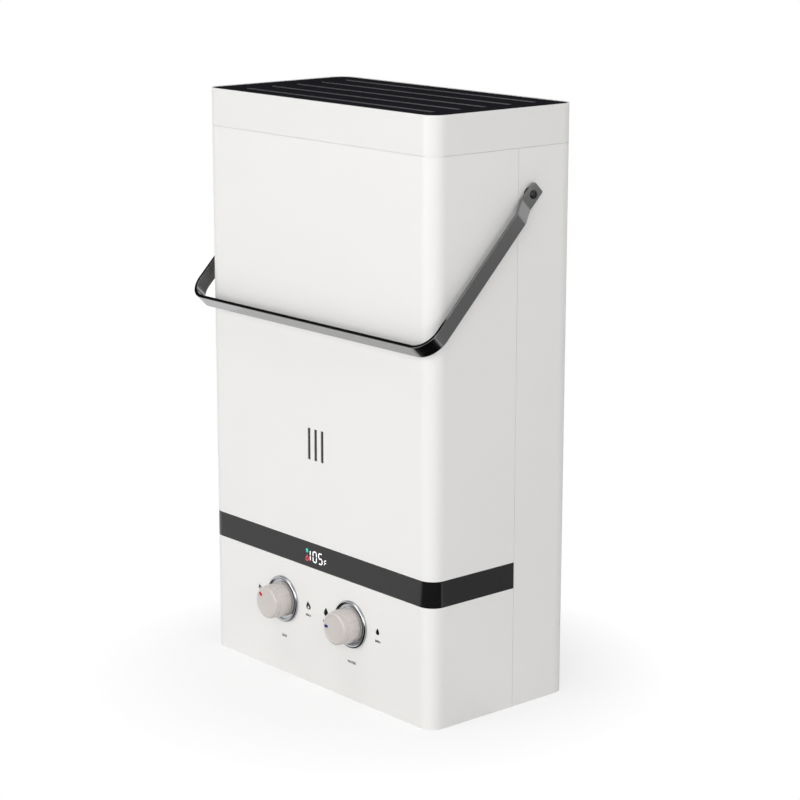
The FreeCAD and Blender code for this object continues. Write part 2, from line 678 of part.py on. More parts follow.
def make_carry_handle():
    """Steel strip bent to a U, with a joggle in each arm and a pivot hole near each end."""
    at_pivot = STRIP_INNER_AT_PIVOT + HANDLE_STRIP_THICKNESS / 2
    at_arm = SIDE_X + HANDLE_ARM_GAP + HANDLE_STRIP_THICKNESS / 2
    right = [V(at_arm, -handle_reach(), 0), V(at_arm, -HANDLE_JOGGLE_END, 0),
             V(at_pivot, -HANDLE_JOGGLE_START, 0), V(at_pivot, HANDLE_END, 0)]
    left = [V(-p.x, p.y, 0) for p in reversed(right)]
    radii = [HANDLE_JOGGLE_ROUND, HANDLE_JOGGLE_ROUND, HANDLE_CORNER_ROUND]
    face = strip_outline(left + right, radii + radii[::-1], HANDLE_STRIP_THICKNESS)
    strip = face.extrude(V(0, 0, HANDLE_STRIP_WIDTH))
    strip.translate(V(0, 0, -HANDLE_STRIP_WIDTH / 2))
    hole = rod(V(-at_arm - 10, 0, 0), V(1, 0, 0), PIVOT_SCREW_RADIUS + RUNNING_FIT, 2 * at_arm + 20)
    strip = strip.cut(hole)
    strip.rotate(V(0, 0, 0), V(1, 0, 0), HANDLE_REST_ANGLE)
    strip.translate(V(0, PIVOT_Y, PIVOT_Z))
    return strip


def on_both_sides(shape):
    """One node with a piece on the right and its twin on the left."""
    return group([shape, mirrored(shape)])


def make_handle_spacers():
    """Round bushes between the casing's sides and the strip."""
    centre = V(SIDE_X, PIVOT_Y, PIVOT_Z)
    bush = rod(centre, V(1, 0, 0), HANDLE_SPACER_RADIUS, HANDLE_SPACER_LENGTH - RUNNING_FIT)
    hole = rod(centre, V(1, 0, 0), PIVOT_SCREW_RADIUS + SLIP_FIT, HANDLE_SPACER_LENGTH)
    return on_both_sides(bush.cut(hole))


def make_handle_screws():
    """Pan head screws that hold the strip, the bush and the plate inside together."""
    inside = SIDE_X - SHEET - PIVOT_PLATE_THICKNESS
    head_start = STRIP_INNER_AT_PIVOT + HANDLE_STRIP_THICKNESS + RUNNING_FIT
    shank = rod(V(inside, PIVOT_Y, PIVOT_Z), V(1, 0, 0), PIVOT_SCREW_RADIUS, head_start - inside)
    head = rod(V(head_start, PIVOT_Y, PIVOT_Z), V(1, 0, 0), PIVOT_HEAD_RADIUS, PIVOT_HEAD_HEIGHT)
    return on_both_sides(shank.fuse(head))


def make_pivot_plates():
    """Stiffening plates inside the sides, tapped for the handle screws."""
    half = PIVOT_Y - SEAM_Y - SEAM_GAP - SHEET - FREE_GAP
    outer = SIDE_X - SHEET
    plate = box(outer - PIVOT_PLATE_THICKNESS, outer, PIVOT_Y - half, PIVOT_Y + half,
                PIVOT_Z - half, PIVOT_Z + half)
    hole = rod(V(outer - 10, PIVOT_Y, PIVOT_Z), V(1, 0, 0), PIVOT_SCREW_RADIUS + RUNNING_FIT, 20)
    return on_both_sides(plate.cut(hole))


# Gas and water valves


def make_gas_valve_body():
    """Cast gas valve with a nose for the push rod."""
    body = box(GAS_VALVE_LEFT, GAS_VALVE_RIGHT, GAS_VALVE_FRONT, GAS_VALVE_BACK,
               GAS_VALVE_BOTTOM, GAS_VALVE_TOP)
    nose_end = GAS_VALVE_RIGHT + GAS_VALVE_NOSE
    body = body.fuse(x_plate(GAS_VALVE_RIGHT, nose_end, 2 * GAS_VALVE_NOSE_RADIUS))
    rod_bore = rod(V(GAS_X + SPINDLE_RADIUS + VALVE_WALL, VALVE_Y, KNOB_HEIGHT), V(1, 0, 0),
                   PUSH_ROD_RADIUS + RUNNING_FIT, GAS_VALVE_WIDTH)
    return body.cut([rod_bore, spindle_bore(GAS_X, GAS_VALVE_FRONT)]).removeSplitter()


def spindle_bore(x, valve_front):
    """Bore that a knob's spindle turns in."""
    return rod(V(x, valve_front + SPINDLE_IN_VALVE + FREE_GAP, KNOB_HEIGHT), V(0, -1, 0),
               SPINDLE_RADIUS + RUNNING_FIT, SPINDLE_IN_VALVE + 5)


def make_gas_solenoid():
    """Magnet valve on the back of the gas valve."""
    half = SOLENOID_SIZE / 2
    coil = box(GAS_X - half, GAS_X + half, GAS_VALVE_BACK, GAS_VALVE_BACK + SOLENOID_LENGTH,
               KNOB_HEIGHT - half, KNOB_HEIGHT + half)
    nut = flat_sided_bar(6, SOLENOID_SIZE / 2, VALVE_WALL)
    nut.rotate(V(0, 0, 0), V(1, 0, 0), -90)
    nut.translate(V(GAS_X, GAS_VALVE_BACK + SOLENOID_LENGTH, KNOB_HEIGHT))
    return coil.fuse(nut)


def x_disc(x0, x1, radius):
    """Disc on the push rod's axis."""
    return rod(V(x0, VALVE_Y, KNOB_HEIGHT), V(1, 0, 0), radius, x1 - x0)


def x_plate(x0, x1, across_flats, sides=8):
    """Flat sided plate on the push rod's axis."""
    plate = flat_sided_bar(sides, across_flats, x1 - x0)
    plate.rotate(V(0, 0, 0), V(0, 1, 0), 90)
    plate.translate(V(x0, VALVE_Y, KNOB_HEIGHT))
    return plate


def valve_screw_places():
    """Screws round the rim of the diaphragm housing."""
    pitch_radius = DIAPHRAGM_RADIUS + CHAMBER_RIM / 2
    turns = [2 * math.pi * (i + 0.5) / VALVE_SCREW_COUNT for i in range(VALVE_SCREW_COUNT)]
    return [(VALVE_Y + pitch_radius * math.cos(turn), KNOB_HEIGHT + pitch_radius * math.sin(turn))
            for turn in turns]


def valve_screw_heads():
    """Heads of the screws that clamp the diaphragm housing, sunk slightly in the cover's rim."""
    rim_left = DIAPHRAGM_X - 2 * VALVE_WALL
    heads = []
    for y, z in valve_screw_places():
        head = flat_sided_bar(6, VALVE_SCREW_ACROSS, VALVE_SCREW_HEAD + VALVE_WALL)
        head.rotate(V(0, 0, 0), V(0, 1, 0), 90)
        head.translate(V(rim_left - VALVE_SCREW_HEAD, y, z))
        heads.append(head)
    return heads


def make_water_valve_cover():
    """Dry side of the diaphragm housing, with a bore for the push rod."""
    left = WATER_COVER_LEFT
    right = DIAPHRAGM_X
    rim = x_plate(right - 2 * VALVE_WALL, right, 2 * WATER_RIM_RADIUS)
    cover = x_plate(left, right, 2 * DIAPHRAGM_RADIUS).fuse([rim] + valve_screw_heads())
    hollow = x_plate(left + VALVE_WALL, right, 2 * (DIAPHRAGM_RADIUS - VALVE_WALL))
    bore = x_disc(left - 1, right, PUSH_ROD_RADIUS + RUNNING_FIT)
    return cover.cut([hollow, bore])


def make_diaphragm():
    """Rubber sheet clamped between the two halves of the housing."""
    return x_plate(DIAPHRAGM_X, DIAPHRAGM_X + DIAPHRAGM_THICKNESS, 2 * DIAPHRAGM_RADIUS)


def make_water_valve_body():
    """Wet side of the diaphragm housing with the block that holds inlet, regulator and outlet."""
    left = DIAPHRAGM_X
    right = WATER_BLOCK_START
    block = box(right - 1, WATER_BLOCK_END, WATER_BLOCK_FRONT, WATER_BLOCK_FRONT + WATER_BLOCK_DEPTH,
                WATER_BLOCK_BOTTOM, WATER_BLOCK_BOTTOM + WATER_BLOCK_HEIGHT)
    body = x_plate(left, right, 2 * WATER_RIM_RADIUS).fuse(block)
    seat = x_plate(left - 1, left + DIAPHRAGM_THICKNESS, 2 * (DIAPHRAGM_RADIUS + RUNNING_FIT))
    plug_hole = rod(V(DRAIN_X, VALVE_Y, WATER_BLOCK_BOTTOM - 1), V(0, 0, 1), DRAIN_RADIUS + RUNNING_FIT,
                    VALVE_WALL + 1)
    return body.cut([seat, plug_hole, spindle_bore(WATER_X, WATER_BLOCK_FRONT)])


def collar_x():
    """Middle of the open gap between the two valves."""
    return (GAS_VALVE_RIGHT + GAS_VALVE_NOSE + WATER_COVER_LEFT) / 2


def make_push_rod():
    """Rod from the diaphragm plate into the gas valve, with the collar that trips the switch."""
    plate_right = DIAPHRAGM_X - RUNNING_FIT
    left = GAS_VALVE_RIGHT - PUSH_ROD_TRAVEL
    shape = x_disc(left, plate_right, PUSH_ROD_RADIUS)
    plate = x_plate(plate_right - PUSH_PLATE_THICKNESS, plate_right, 2 * PUSH_PLATE_RADIUS)
    collar = x_plate(collar_x() - COLLAR_THICKNESS / 2, collar_x() + COLLAR_THICKNESS / 2,
                     2 * COLLAR_RADIUS)
    return shape.fuse([plate, collar])


def make_valve_yoke():
    """Strap that ties the gas valve to the water valve above the push rod."""
    bottom = KNOB_HEIGHT + YOKE_RISE
    return box(GAS_VALVE_RIGHT, WATER_COVER_LEFT, VALVE_Y - YOKE_WIDTH / 2, VALVE_Y + YOKE_WIDTH / 2,
               bottom, bottom + YOKE_THICKNESS)


def make_micro_switch():
    """Snap switch hung under the yoke, its button just above the push rod's collar."""
    top = KNOB_HEIGHT + YOKE_RISE
    y = VALVE_Y + YOKE_WIDTH / 2
    x = collar_x()
    body = box(x - SWITCH_LENGTH / 2, x + SWITCH_LENGTH / 2, y - SWITCH_WIDTH / 2,
               y + SWITCH_WIDTH / 2, top - SWITCH_HEIGHT, top)
    half = SWITCH_BUTTON / 2
    button = box(x - half, x + half, y - half, y + half, top - SWITCH_HEIGHT - half, top)
    return body.fuse(button)


# Fittings below the base


def threaded_fitting(x, y, thread_radius, neck_radius, collar_top):
    """Male thread below the base plate, a neck through it and a hexagon collar above it."""
    bottom = FITTING_CLEAR_OF_FLOOR
    thread = rod(V(x, y, bottom), V(0, 0, 1), thread_radius, THREAD_LENGTH)
    neck = rod(V(x, y, bottom), V(0, 0, 1), neck_radius, collar_top - bottom)
    collar = hexagon(x, y, BASE_TOP, 2 * (thread_radius + COLLAR_MARGIN), collar_top - BASE_TOP)
    return thread.fuse([neck, collar]).removeSplitter()


def hose_fitting(x, y, collar_top):
    """Male garden hose fitting with its bore."""
    bore = rod(V(x, y, FITTING_CLEAR_OF_FLOOR - 1), V(0, 0, 1), HOSE_BORE_RADIUS, HOSE_BORE_DEPTH + 1)
    return threaded_fitting(x, y, HOSE_THREAD_RADIUS, HOSE_NECK_RADIUS, collar_top).cut(bore)


def make_water_inlet():
    return hose_fitting(WATER_INLET_X, VALVE_Y, WATER_BLOCK_BOTTOM)


def make_hot_water_outlet():
    return hose_fitting(HOT_OUTLET_X, HOT_OUTLET_Y, BASE_TOP + OUTLET_COLLAR_HEIGHT)


def make_gas_inlet():
    """Male flare fitting with its 45 degree nose."""
    bottom = FITTING_CLEAR_OF_FLOOR
    nose = Part.makeCone(FLARE_NOSE_RADIUS, FLARE_THREAD_RADIUS, FLARE_NOSE, V(GAS_X, VALVE_Y, bottom))
    around = rod(V(GAS_X, VALVE_Y, bottom - 1), V(0, 0, 1), 2 * FLARE_THREAD_RADIUS, FLARE_NOSE + 1)
    bore = rod(V(GAS_X, VALVE_Y, bottom - 1), V(0, 0, 1), FLARE_BORE_RADIUS, FLARE_BORE_DEPTH + 1)
    fitting = threaded_fitting(GAS_X, VALVE_Y, FLARE_THREAD_RADIUS, FLARE_NECK_RADIUS, GAS_VALVE_BOTTOM)
    return fitting.cut(around.cut(nose)).cut(bore)


def make_drain_plug():
    """Drain and relief plug screwed into the water valve from below."""
    head_bottom = BASE_HEIGHT - FREE_GAP - DRAIN_HEAD
    head = hexagon(DRAIN_X, VALVE_Y, head_bottom, DRAIN_ACROSS, DRAIN_HEAD)
    shank = rod(V(DRAIN_X, VALVE_Y, head_bottom), V(0, 0, 1), DRAIN_RADIUS,
                WATER_BLOCK_BOTTOM + VALVE_WALL - head_bottom)
    return head.fuse(shank)


# Burner


def bracket_places():
    return spread(2, BRACKET_SPACING)


def bracket_heights():
    """Lowest point of each pair of brackets: under the burner and high on the chamber."""
    return (BURNER_BOTTOM + BURNER_HEIGHT / 2, CHAMBER_TOP - 2 * FIN_HEIGHT)


def make_brackets():
    """Folded brackets that carry the burner and the chamber off the back panel."""
    brackets = []
    for x in bracket_places():
        for z in bracket_heights():
            x0 = x - BRACKET_WIDTH / 2
            x1 = x + BRACKET_WIDTH / 2
            shelf = box(x0, x1, BURNER_BACK_Y, INNER_BACK_Y, z - BRACKET_THICKNESS, z)
            foot = box(x0, x1, INNER_BACK_Y - BRACKET_THICKNESS, INNER_BACK_Y,
                       z - BRACKET_THICKNESS, z + BRACKET_FOOT)
            toe = box(x0, x1, BURNER_BACK_Y, BURNER_BACK_Y + BRACKET_THICKNESS, z - BRACKET_FOOT, z)
            brackets.append(shelf.fuse([foot, toe]).removeSplitter())
    return group(brackets)


def burner_bar_places():
    return spread(BURNER_BAR_COUNT, BURNER_WIDTH / BURNER_BAR_COUNT)


def nozzle_z():
    return MANIFOLD_BOTTOM + MANIFOLD_SIZE / 2


def make_burner_frame():
    """Open steel tray that holds the burner bars, with an air slot in front for the nozzles."""
    outer = box(-BURNER_SIDE_X, BURNER_SIDE_X, BURNER_FRONT_Y, BURNER_BACK_Y, BURNER_BOTTOM, BURNER_TOP)
    inner_x = BURNER_SIDE_X - BURNER_SHEET
    inner = box(-inner_x, inner_x, BURNER_FRONT_Y + BURNER_SHEET, BURNER_BACK_Y - BURNER_SHEET,
                BURNER_BOTTOM + BURNER_SHEET, BURNER_TOP + 1)
    reach = burner_bar_places()[-1] + NOZZLE_ACROSS
    air_slot = box(-reach, reach, BURNER_FRONT_Y - 1, BURNER_FRONT_Y + BURNER_SHEET + 1,
                   nozzle_z() - NOZZLE_ACROSS, nozzle_z() + NOZZLE_ACROSS)
    return outer.cut([inner, air_slot])


def make_burner_bars():
    """Folded burner bars with a wide head, a narrow throat and a row of ports along the top."""
    bottom = BURNER_BOTTOM + BURNER_SHEET
    top = bottom + BURNER_BAR_HEIGHT
    head = BURNER_BAR_WIDTH / 2
    throat = BURNER_BAR_THROAT / 2
    port = BURNER_PORT_WIDTH / 2
    heights = (bottom, bottom + 0.45 * BURNER_BAR_HEIGHT, bottom + 0.6 * BURNER_BAR_HEIGHT,
               bottom + 0.85 * BURNER_BAR_HEIGHT, top)
    right = [(head, heights[0]), (head, heights[1]), (throat, heights[2]), (throat, heights[3]),
             (head * 0.8, heights[4]), (port, heights[4]), (port, heights[4] - BURNER_PORT_DEPTH)]
    outline = right + [(-x, z) for x, z in reversed(right)]
    y0 = BURNER_FRONT_Y + NOZZLE_LENGTH + NOZZLE_GAP
    y1 = BURNER_BACK_Y - BURNER_SHEET
    bars = []
    for centre in burner_bar_places():
        points = [V(centre + x, y0, z) for x, z in outline]
        bars.append(Part.Face(Part.makePolygon(points + points[:1])).extrude(V(0, y1 - y0, 0)))
    return group(bars)


def make_gas_manifold():
    """Square gas rail along the front of the burner with a nozzle for each bar."""
    half = (BURNER_BAR_COUNT - 1) * BURNER_WIDTH / BURNER_BAR_COUNT / 2 + MANIFOLD_SIZE
    rail = box(-half, half, BURNER_FRONT_Y - MANIFOLD_SIZE, BURNER_FRONT_Y, MANIFOLD_BOTTOM,
               MANIFOLD_BOTTOM + MANIFOLD_SIZE)
    nozzles = []
    for x in burner_bar_places():
        nozzle = hexagon(0, 0, 0, NOZZLE_ACROSS, NOZZLE_LENGTH)
        nozzle.rotate(V(0, 0, 0), V(1, 0, 0), -90)
        nozzle.translate(V(x, BURNER_FRONT_Y, nozzle_z()))
        nozzles.append(nozzle)
    return rail.fuse(nozzles)


def make_gas_feed_pipe():
    """Pipe from the top of the gas valve up to the manifold."""
    y = BURNER_FRONT_Y - MANIFOLD_SIZE / 2
    return rod(V(GAS_X, y, GAS_VALVE_TOP), V(0, 0, 1), FEED_PIPE_RADIUS, MANIFOLD_BOTTOM - GAS_VALVE_TOP)


# Heat exchanger


def fin_tube_rows():
    """Depths of the straight tubes through the fins."""
    return [BURNER_MIDDLE_Y + offset for offset in spread(2, TUBE_PITCH)]


def make_combustion_chamber():
    """Copper walls above the burner, with holes for the tubes, the electrodes and the view inside."""
    outer = box(-BURNER_SIDE_X, BURNER_SIDE_X, BURNER_FRONT_Y, BURNER_BACK_Y, BURNER_TOP, CHAMBER_TOP)
    inner_x = BURNER_SIDE_X - CHAMBER_SHEET
    inner = box(-inner_x, inner_x, BURNER_FRONT_Y + CHAMBER_SHEET, BURNER_BACK_Y - CHAMBER_SHEET,
                BURNER_TOP - 1, CHAMBER_TOP + 1)
    tube_holes = [rod(V(-BURNER_SIDE_X - 5, y, FIN_TUBE_Z), V(1, 0, 0),
                      WATER_TUBE_RADIUS + SLIP_FIT, BURNER_WIDTH + 10) for y in fin_tube_rows()]
    sleeve = CERAMIC_RADIUS + SLIP_FIT
    holes = [(0, VIEW_SLOT_CENTRE_Z, SIGHT_HOLE_WIDTH / 2, SIGHT_HOLE_HEIGHT / 2),
             (ELECTRODE_X, electrode_z(), sleeve, sleeve), (SENSOR_X, electrode_z(), sleeve, sleeve)]
    front_holes = [box(x - half_x, x + half_x, BURNER_FRONT_Y - 1, BURNER_FRONT_Y + CHAMBER_SHEET + 1,
                       z - half_z, z + half_z) for x, z, half_x, half_z in holes]
    return outer.cut([inner] + tube_holes + front_holes)


def make_fins():
    """Upright copper fins across the chamber, pushed down over the straight tubes by open slots."""
    slot = WATER_TUBE_RADIUS + RUNNING_FIT
    slots = [box(-BURNER_SIDE_X, BURNER_SIDE_X, y - slot, y + slot, FIN_BOTTOM - 1, FIN_TUBE_Z + slot)
             for y in fin_tube_rows()]
    y0 = BURNER_FRONT_Y + CHAMBER_SHEET
    y1 = BURNER_BACK_Y - CHAMBER_SHEET
    half = FIN_THICKNESS / 2
    return group([box(x - half, x + half, y0, y1, FIN_BOTTOM, FIN_TOP).cut(slots)
                  for x in spread(FIN_COUNT, FIN_PITCH)])


def make_water_coil():
    """One copper tube: up from the water valve, once round the chamber and twice through the fins."""
    side = BURNER_SIDE_X + TUBE_OUT
    front = BURNER_FRONT_Y - TUBE_OUT
    back = BURNER_BACK_Y + TUBE_OUT
    rows = fin_tube_rows()
    high = COIL_LOW_Z + COIL_STEP
    turn_x = BURNER_SIDE_X + TUBE_TURN
    points = [V(WATER_BLOCK_END, VALVE_Y, KNOB_HEIGHT), V(side, VALVE_Y, KNOB_HEIGHT),
              V(side, VALVE_Y, COIL_LOW_Z), V(side, back, COIL_LOW_Z), V(-side, back, COIL_LOW_Z),
              V(-side, front, COIL_LOW_Z), V(side, front, high), V(side, rows[0], high),
              V(side, rows[0], FIN_TUBE_Z), V(-turn_x, rows[0], FIN_TUBE_Z),
              V(-turn_x, rows[1], FIN_TUBE_Z), V(side, rows[1], FIN_TUBE_Z)]
    return elbowed_tube(points, WATER_TUBE_RADIUS)


def make_hot_water_pipe():
    """Copper pipe from the last pass through the fins down to the outlet."""
    side = BURNER_SIDE_X + TUBE_OUT
    points = [V(side, HOT_OUTLET_Y, FIN_TUBE_Z), V(HOT_OUTLET_X, HOT_OUTLET_Y, FIN_TUBE_Z),
              V(HOT_OUTLET_X, HOT_OUTLET_Y, BASE_TOP + OUTLET_COLLAR_HEIGHT)]
    return elbowed_tube(points, WATER_TUBE_RADIUS)


def make_flue_hood():
    """Sheet hood from the chamber's top edge, flaring to a collar just below the grille."""
    middle_y = (FRONT_Y + BACK_Y) / 2
    top = GRILLE_BOTTOM - GRILLE_LIP_DEPTH - HOOD_GAP_BELOW_GRILLE
    collar_bottom = top - HOOD_COLLAR

    def flare(inset):
        low = rectangle_corners(BURNER_WIDTH / 2 - inset, BURNER_DEPTH / 2 - inset,
                                BURNER_MIDDLE_Y, CHAMBER_TOP)
        high = rectangle_corners(HOOD_TOP_WIDTH / 2 - inset, HOOD_TOP_DEPTH / 2 - inset,
                                 middle_y, collar_bottom)
        return flat_sided_block(low, high)

    collar = upright_frame(HOOD_TOP_WIDTH, HOOD_TOP_DEPTH, middle_y, collar_bottom, top, HOOD_SHEET)
    return flare(0).cut(flare(HOOD_SHEET)).fuse(collar)


def rectangle_corners(half_width, half_depth, y, z):
    """Four corners of a level rectangle."""
    return [V(side_x * half_width, y + side_y * half_depth, z)
            for side_x, side_y in ((1, 1), (-1, 1), (-1, -1), (1, -1))]


def flat_sided_block(low, high):
    """Solid between two level outlines with the same number of corners."""
    outlines = [low, high] + [[low[i - 1], low[i], high[i], high[i - 1]] for i in range(len(low))]
    faces = [Part.Face(Part.makePolygon(outline + outline[:1])) for outline in outlines]
    return Part.makeSolid(Part.makeShell(faces))


def upright_frame(width, depth, y, z0, z1, wall):
    """Four thin upright walls."""
    outer = box(-width / 2, width / 2, y - depth / 2, y + depth / 2, z0, z1)
    inner = box(-width / 2 + wall, width / 2 - wall, y - depth / 2 + wall, y + depth / 2 - wall,
                z0 - 1, z1 + 1)
    return outer.cut(inner)


# Ignition and controls


def electrode_z():
    return BURNER_TOP + ELECTRODE_HEIGHT


def electrode(x):
    """Ceramic sleeve through the chamber's front wall with a steel pin and its clamp plate."""
    z = electrode_z()
    half = CERAMIC_RADIUS + CLAMP_MARGIN
    sleeve = rod(V(x, BURNER_FRONT_Y - CERAMIC_LENGTH / 2, z), V(0, 1, 0), CERAMIC_RADIUS, CERAMIC_LENGTH)
    pin = flat_sided_bar(6, PIN_ACROSS, PIN_LENGTH)
    pin.rotate(V(0, 0, 0), V(1, 0, 0), -90)
    pin.translate(V(x, BURNER_FRONT_Y + CERAMIC_LENGTH / 2, z))
    plate = box(x - half, x + half, BURNER_FRONT_Y - CLAMP_THICKNESS, BURNER_FRONT_Y, z - half, z + half)
    return sleeve.fuse([pin, plate]).removeSplitter()


def make_spark_electrode():
    return electrode(ELECTRODE_X)


def make_flame_sensor():
    return electrode(SENSOR_X)


def make_ignition_controller():
    """Ignition box on the inside of the back panel."""
    return box(CONTROLLER_X - CONTROLLER_WIDTH / 2, CONTROLLER_X + CONTROLLER_WIDTH / 2,
               INNER_BACK_Y - CONTROLLER_DEPTH, INNER_BACK_Y,
               CONTROLLER_Z, CONTROLLER_Z + CONTROLLER_HEIGHT)


def make_tilt_switch():
    """Tip-over switch on the base plate."""
    half = TILT_SWITCH_SIZE / 2
    y = BURNER_MIDDLE_Y
    return box(TILT_SWITCH_X - half, TILT_SWITCH_X + half, y - half, y + half,
               BASE_TOP, BASE_TOP + TILT_SWITCH_HEIGHT)


def make_thermostat():
    """Overheat cut-out on the chamber's front wall."""
    return rod(V(THERMOSTAT_X, BURNER_FRONT_Y, THERMOSTAT_Z), V(0, -1, 0),
               THERMOSTAT_RADIUS, THERMOSTAT_HEIGHT)


# Battery box


def battery_body(margin):
    """Outer block of the battery box, or with a margin its hole in the base plate."""
    half_width = BATTERY_INNER_WIDTH / 2 + BATTERY_WALL + margin
    half_depth = BATTERY_INNER_DEPTH / 2 + BATTERY_WALL + margin
    top = BATTERY_FLANGE_BOTTOM + CELL_CAP_HEIGHT + CELL_LENGTH + CELL_GAP + BATTERY_WALL
    return box(BATTERY_BOX_X - half_width, BATTERY_BOX_X + half_width, BATTERY_Y - half_depth,
               BATTERY_Y + half_depth, BATTERY_FLANGE_BOTTOM, top)


def battery_flange_box(z0, z1):
    """Block over the whole flange of the battery box."""
    half_width = BATTERY_INNER_WIDTH / 2 + BATTERY_WALL + BATTERY_FLANGE
    half_depth = BATTERY_INNER_DEPTH / 2 + BATTERY_WALL + BATTERY_FLANGE
    return box(BATTERY_BOX_X - half_width, BATTERY_BOX_X + half_width, BATTERY_Y - half_depth,
               BATTERY_Y + half_depth, z0, z1)


def battery_hollow():
    """Room for the cells, open at the bottom."""
    half_width = BATTERY_INNER_WIDTH / 2
    half_depth = BATTERY_INNER_DEPTH / 2
    top = BATTERY_FLANGE_BOTTOM + CELL_CAP_HEIGHT + CELL_LENGTH + CELL_GAP
    return box(BATTERY_BOX_X - half_width, BATTERY_BOX_X + half_width, BATTERY_Y - half_depth,
               BATTERY_Y + half_depth, BATTERY_FLANGE_BOTTOM - 1, top)


def hinge_y():
    """Door hinge along the rear edge of the battery box."""
    return BATTERY_Y + BATTERY_INNER_DEPTH / 2 + BATTERY_WALL


def hinge_lug_x():
    """Outer face of the door's knuckle on each side."""
    return BATTERY_INNER_WIDTH / 2 + BATTERY_WALL


def make_battery_box():
    """Moulded box for two cells with a flange below the base plate and two hinge lugs."""
    shell = battery_body(0).fuse(battery_flange_box(BATTERY_FLANGE_BOTTOM, BASE_HEIGHT))
    shell = shell.cut(battery_hollow())
    lugs = []
    for hand in (1, -1):
        x = BATTERY_BOX_X + hand * (hinge_lug_x() + DOOR_GAP)
        lug = rod(V(x, hinge_y(), DOOR_MIDDLE_Z), V(hand, 0, 0), HINGE_LUG_RADIUS, HINGE_LUG_THICKNESS)
        x0, x1 = sorted((x, x + hand * HINGE_LUG_THICKNESS))
        web = box(x0, x1, hinge_y() - HINGE_LUG_RADIUS, hinge_y() + HINGE_LUG_RADIUS,
                  DOOR_MIDDLE_Z, BATTERY_FLANGE_BOTTOM)
        hole = rod(V(x - hand, hinge_y(), DOOR_MIDDLE_Z), V(hand, 0, 0), HINGE_PIN_RADIUS + RUNNING_FIT,
                   HINGE_LUG_THICKNESS + 2)
        lugs.append(lug.fuse(web).cut(hole))
    return shell.fuse(lugs).removeSplitter()


def make_battery_door():
    """Flap under the battery box, with hinge pins at the rear and a finger tab in front."""
    half_width = hinge_lug_x()
    front = BATTERY_Y - BATTERY_INNER_DEPTH / 2 - BATTERY_WALL
    door = box(BATTERY_BOX_X - half_width, BATTERY_BOX_X + half_width, front, hinge_y(),
               DOOR_TOP - DOOR_THICKNESS, DOOR_TOP)
    pin_length = DOOR_GAP + HINGE_LUG_THICKNESS
    pins = rod(V(BATTERY_BOX_X - half_width - pin_length, hinge_y(), DOOR_MIDDLE_Z), V(1, 0, 0),
               HINGE_PIN_RADIUS, 2 * (half_width + pin_length))
    tab = box(BATTERY_BOX_X - LATCH_WIDTH / 2, BATTERY_BOX_X + LATCH_WIDTH / 2, front - LATCH_THICKNESS,
              front, DOOR_TOP - 3 * DOOR_THICKNESS, DOOR_TOP)
    return door.fuse([pins, tab]).removeSplitter()


def make_battery_cells():
    """Two cells standing side by side in the box."""
    cells = []
    bottom = BATTERY_FLANGE_BOTTOM
    for offset in spread(CELL_COUNT, 2 * CELL_RADIUS + CELL_GAP):
        x = BATTERY_BOX_X + offset
        cap = hexagon(x, BATTERY_Y, bottom + CELL_LENGTH, CELL_CAP_ACROSS, CELL_CAP_HEIGHT)
        cells.append(rod(V(x, BATTERY_Y, bottom), V(0, 0, 1), CELL_RADIUS, CELL_LENGTH).fuse(cap))
    return group(cells)


def all_pieces():
    """Every piece by the name of its node."""
    pieces = {
        "front_cover": make_front_cover(),
        "rear_casing": make_rear_casing(),
        "top_cap": make_top_cap(),
        "top_grille": make_top_grille(),
        "control_band": make_control_band(),
        "display_module": make_display_module(),
        "flame_window": make_flame_window(),
        "base_plate": make_base_plate(),
        "knob_bezels": make_knob_bezels(),
        "carry_handle": make_carry_handle(),
        "handle_spacers": make_handle_spacers(),
        "handle_screws": make_handle_screws(),
        "pivot_plates": make_pivot_plates(),
        "gas_valve_body": make_gas_valve_body(),
        "gas_solenoid": make_gas_solenoid(),
        "water_valve_body": make_water_valve_body(),
        "water_valve_cover": make_water_valve_cover(),
        "diaphragm": make_diaphragm(),
        "push_rod": make_push_rod(),
        "valve_yoke": make_valve_yoke(),
        "micro_switch": make_micro_switch(),
        "water_inlet": make_water_inlet(),
        "hot_water_outlet": make_hot_water_outlet(),
        "gas_inlet": make_gas_inlet(),
        "drain_plug": make_drain_plug(),
        "mounting_brackets": make_brackets(),
        "burner_frame": make_burner_frame(),
        "burner_bars": make_burner_bars(),
        "gas_manifold": make_gas_manifold(),
        "gas_feed_pipe": make_gas_feed_pipe(),
        "combustion_chamber": make_combustion_chamber(),
        "exchanger_fins": make_fins(),
        "water_coil": make_water_coil(),
        "hot_water_pipe": make_hot_water_pipe(),
        "flue_hood": make_flue_hood(),
        "spark_electrode": make_spark_electrode(),
        "flame_sensor": make_flame_sensor(),
        "ignition_controller": make_ignition_controller(),
        "tilt_switch": make_tilt_switch(),
        "overheat_thermostat": make_thermostat(),
        "battery_box": make_battery_box(),
        "battery_door": make_battery_door(),
        "battery_cells": make_battery_cells(),
    }
    for name, x, angle, valve_front in (("gas", GAS_X, GAS_POINTER_ANGLE, GAS_VALVE_FRONT),
                                        ("water", WATER_X, WATER_POINTER_ANGLE, WATER_BLOCK_FRONT)):
        pieces[name + "_knob"] = face_forward(knob(angle), x, FRONT_Y, KNOB_HEIGHT)
        pieces[name + "_knob_pointer"] = face_forward(pointer_block(angle, 0), x, FRONT_Y, KNOB_HEIGHT)
        pieces[name + "_spindle"] = face_forward(spindle(valve_front), x, FRONT_Y, KNOB_HEIGHT)
    return pieces


os.makedirs("parts", exist_ok=True)
for node, shape in all_pieces().items():
    shape.exportStep("parts/" + node + ".step")
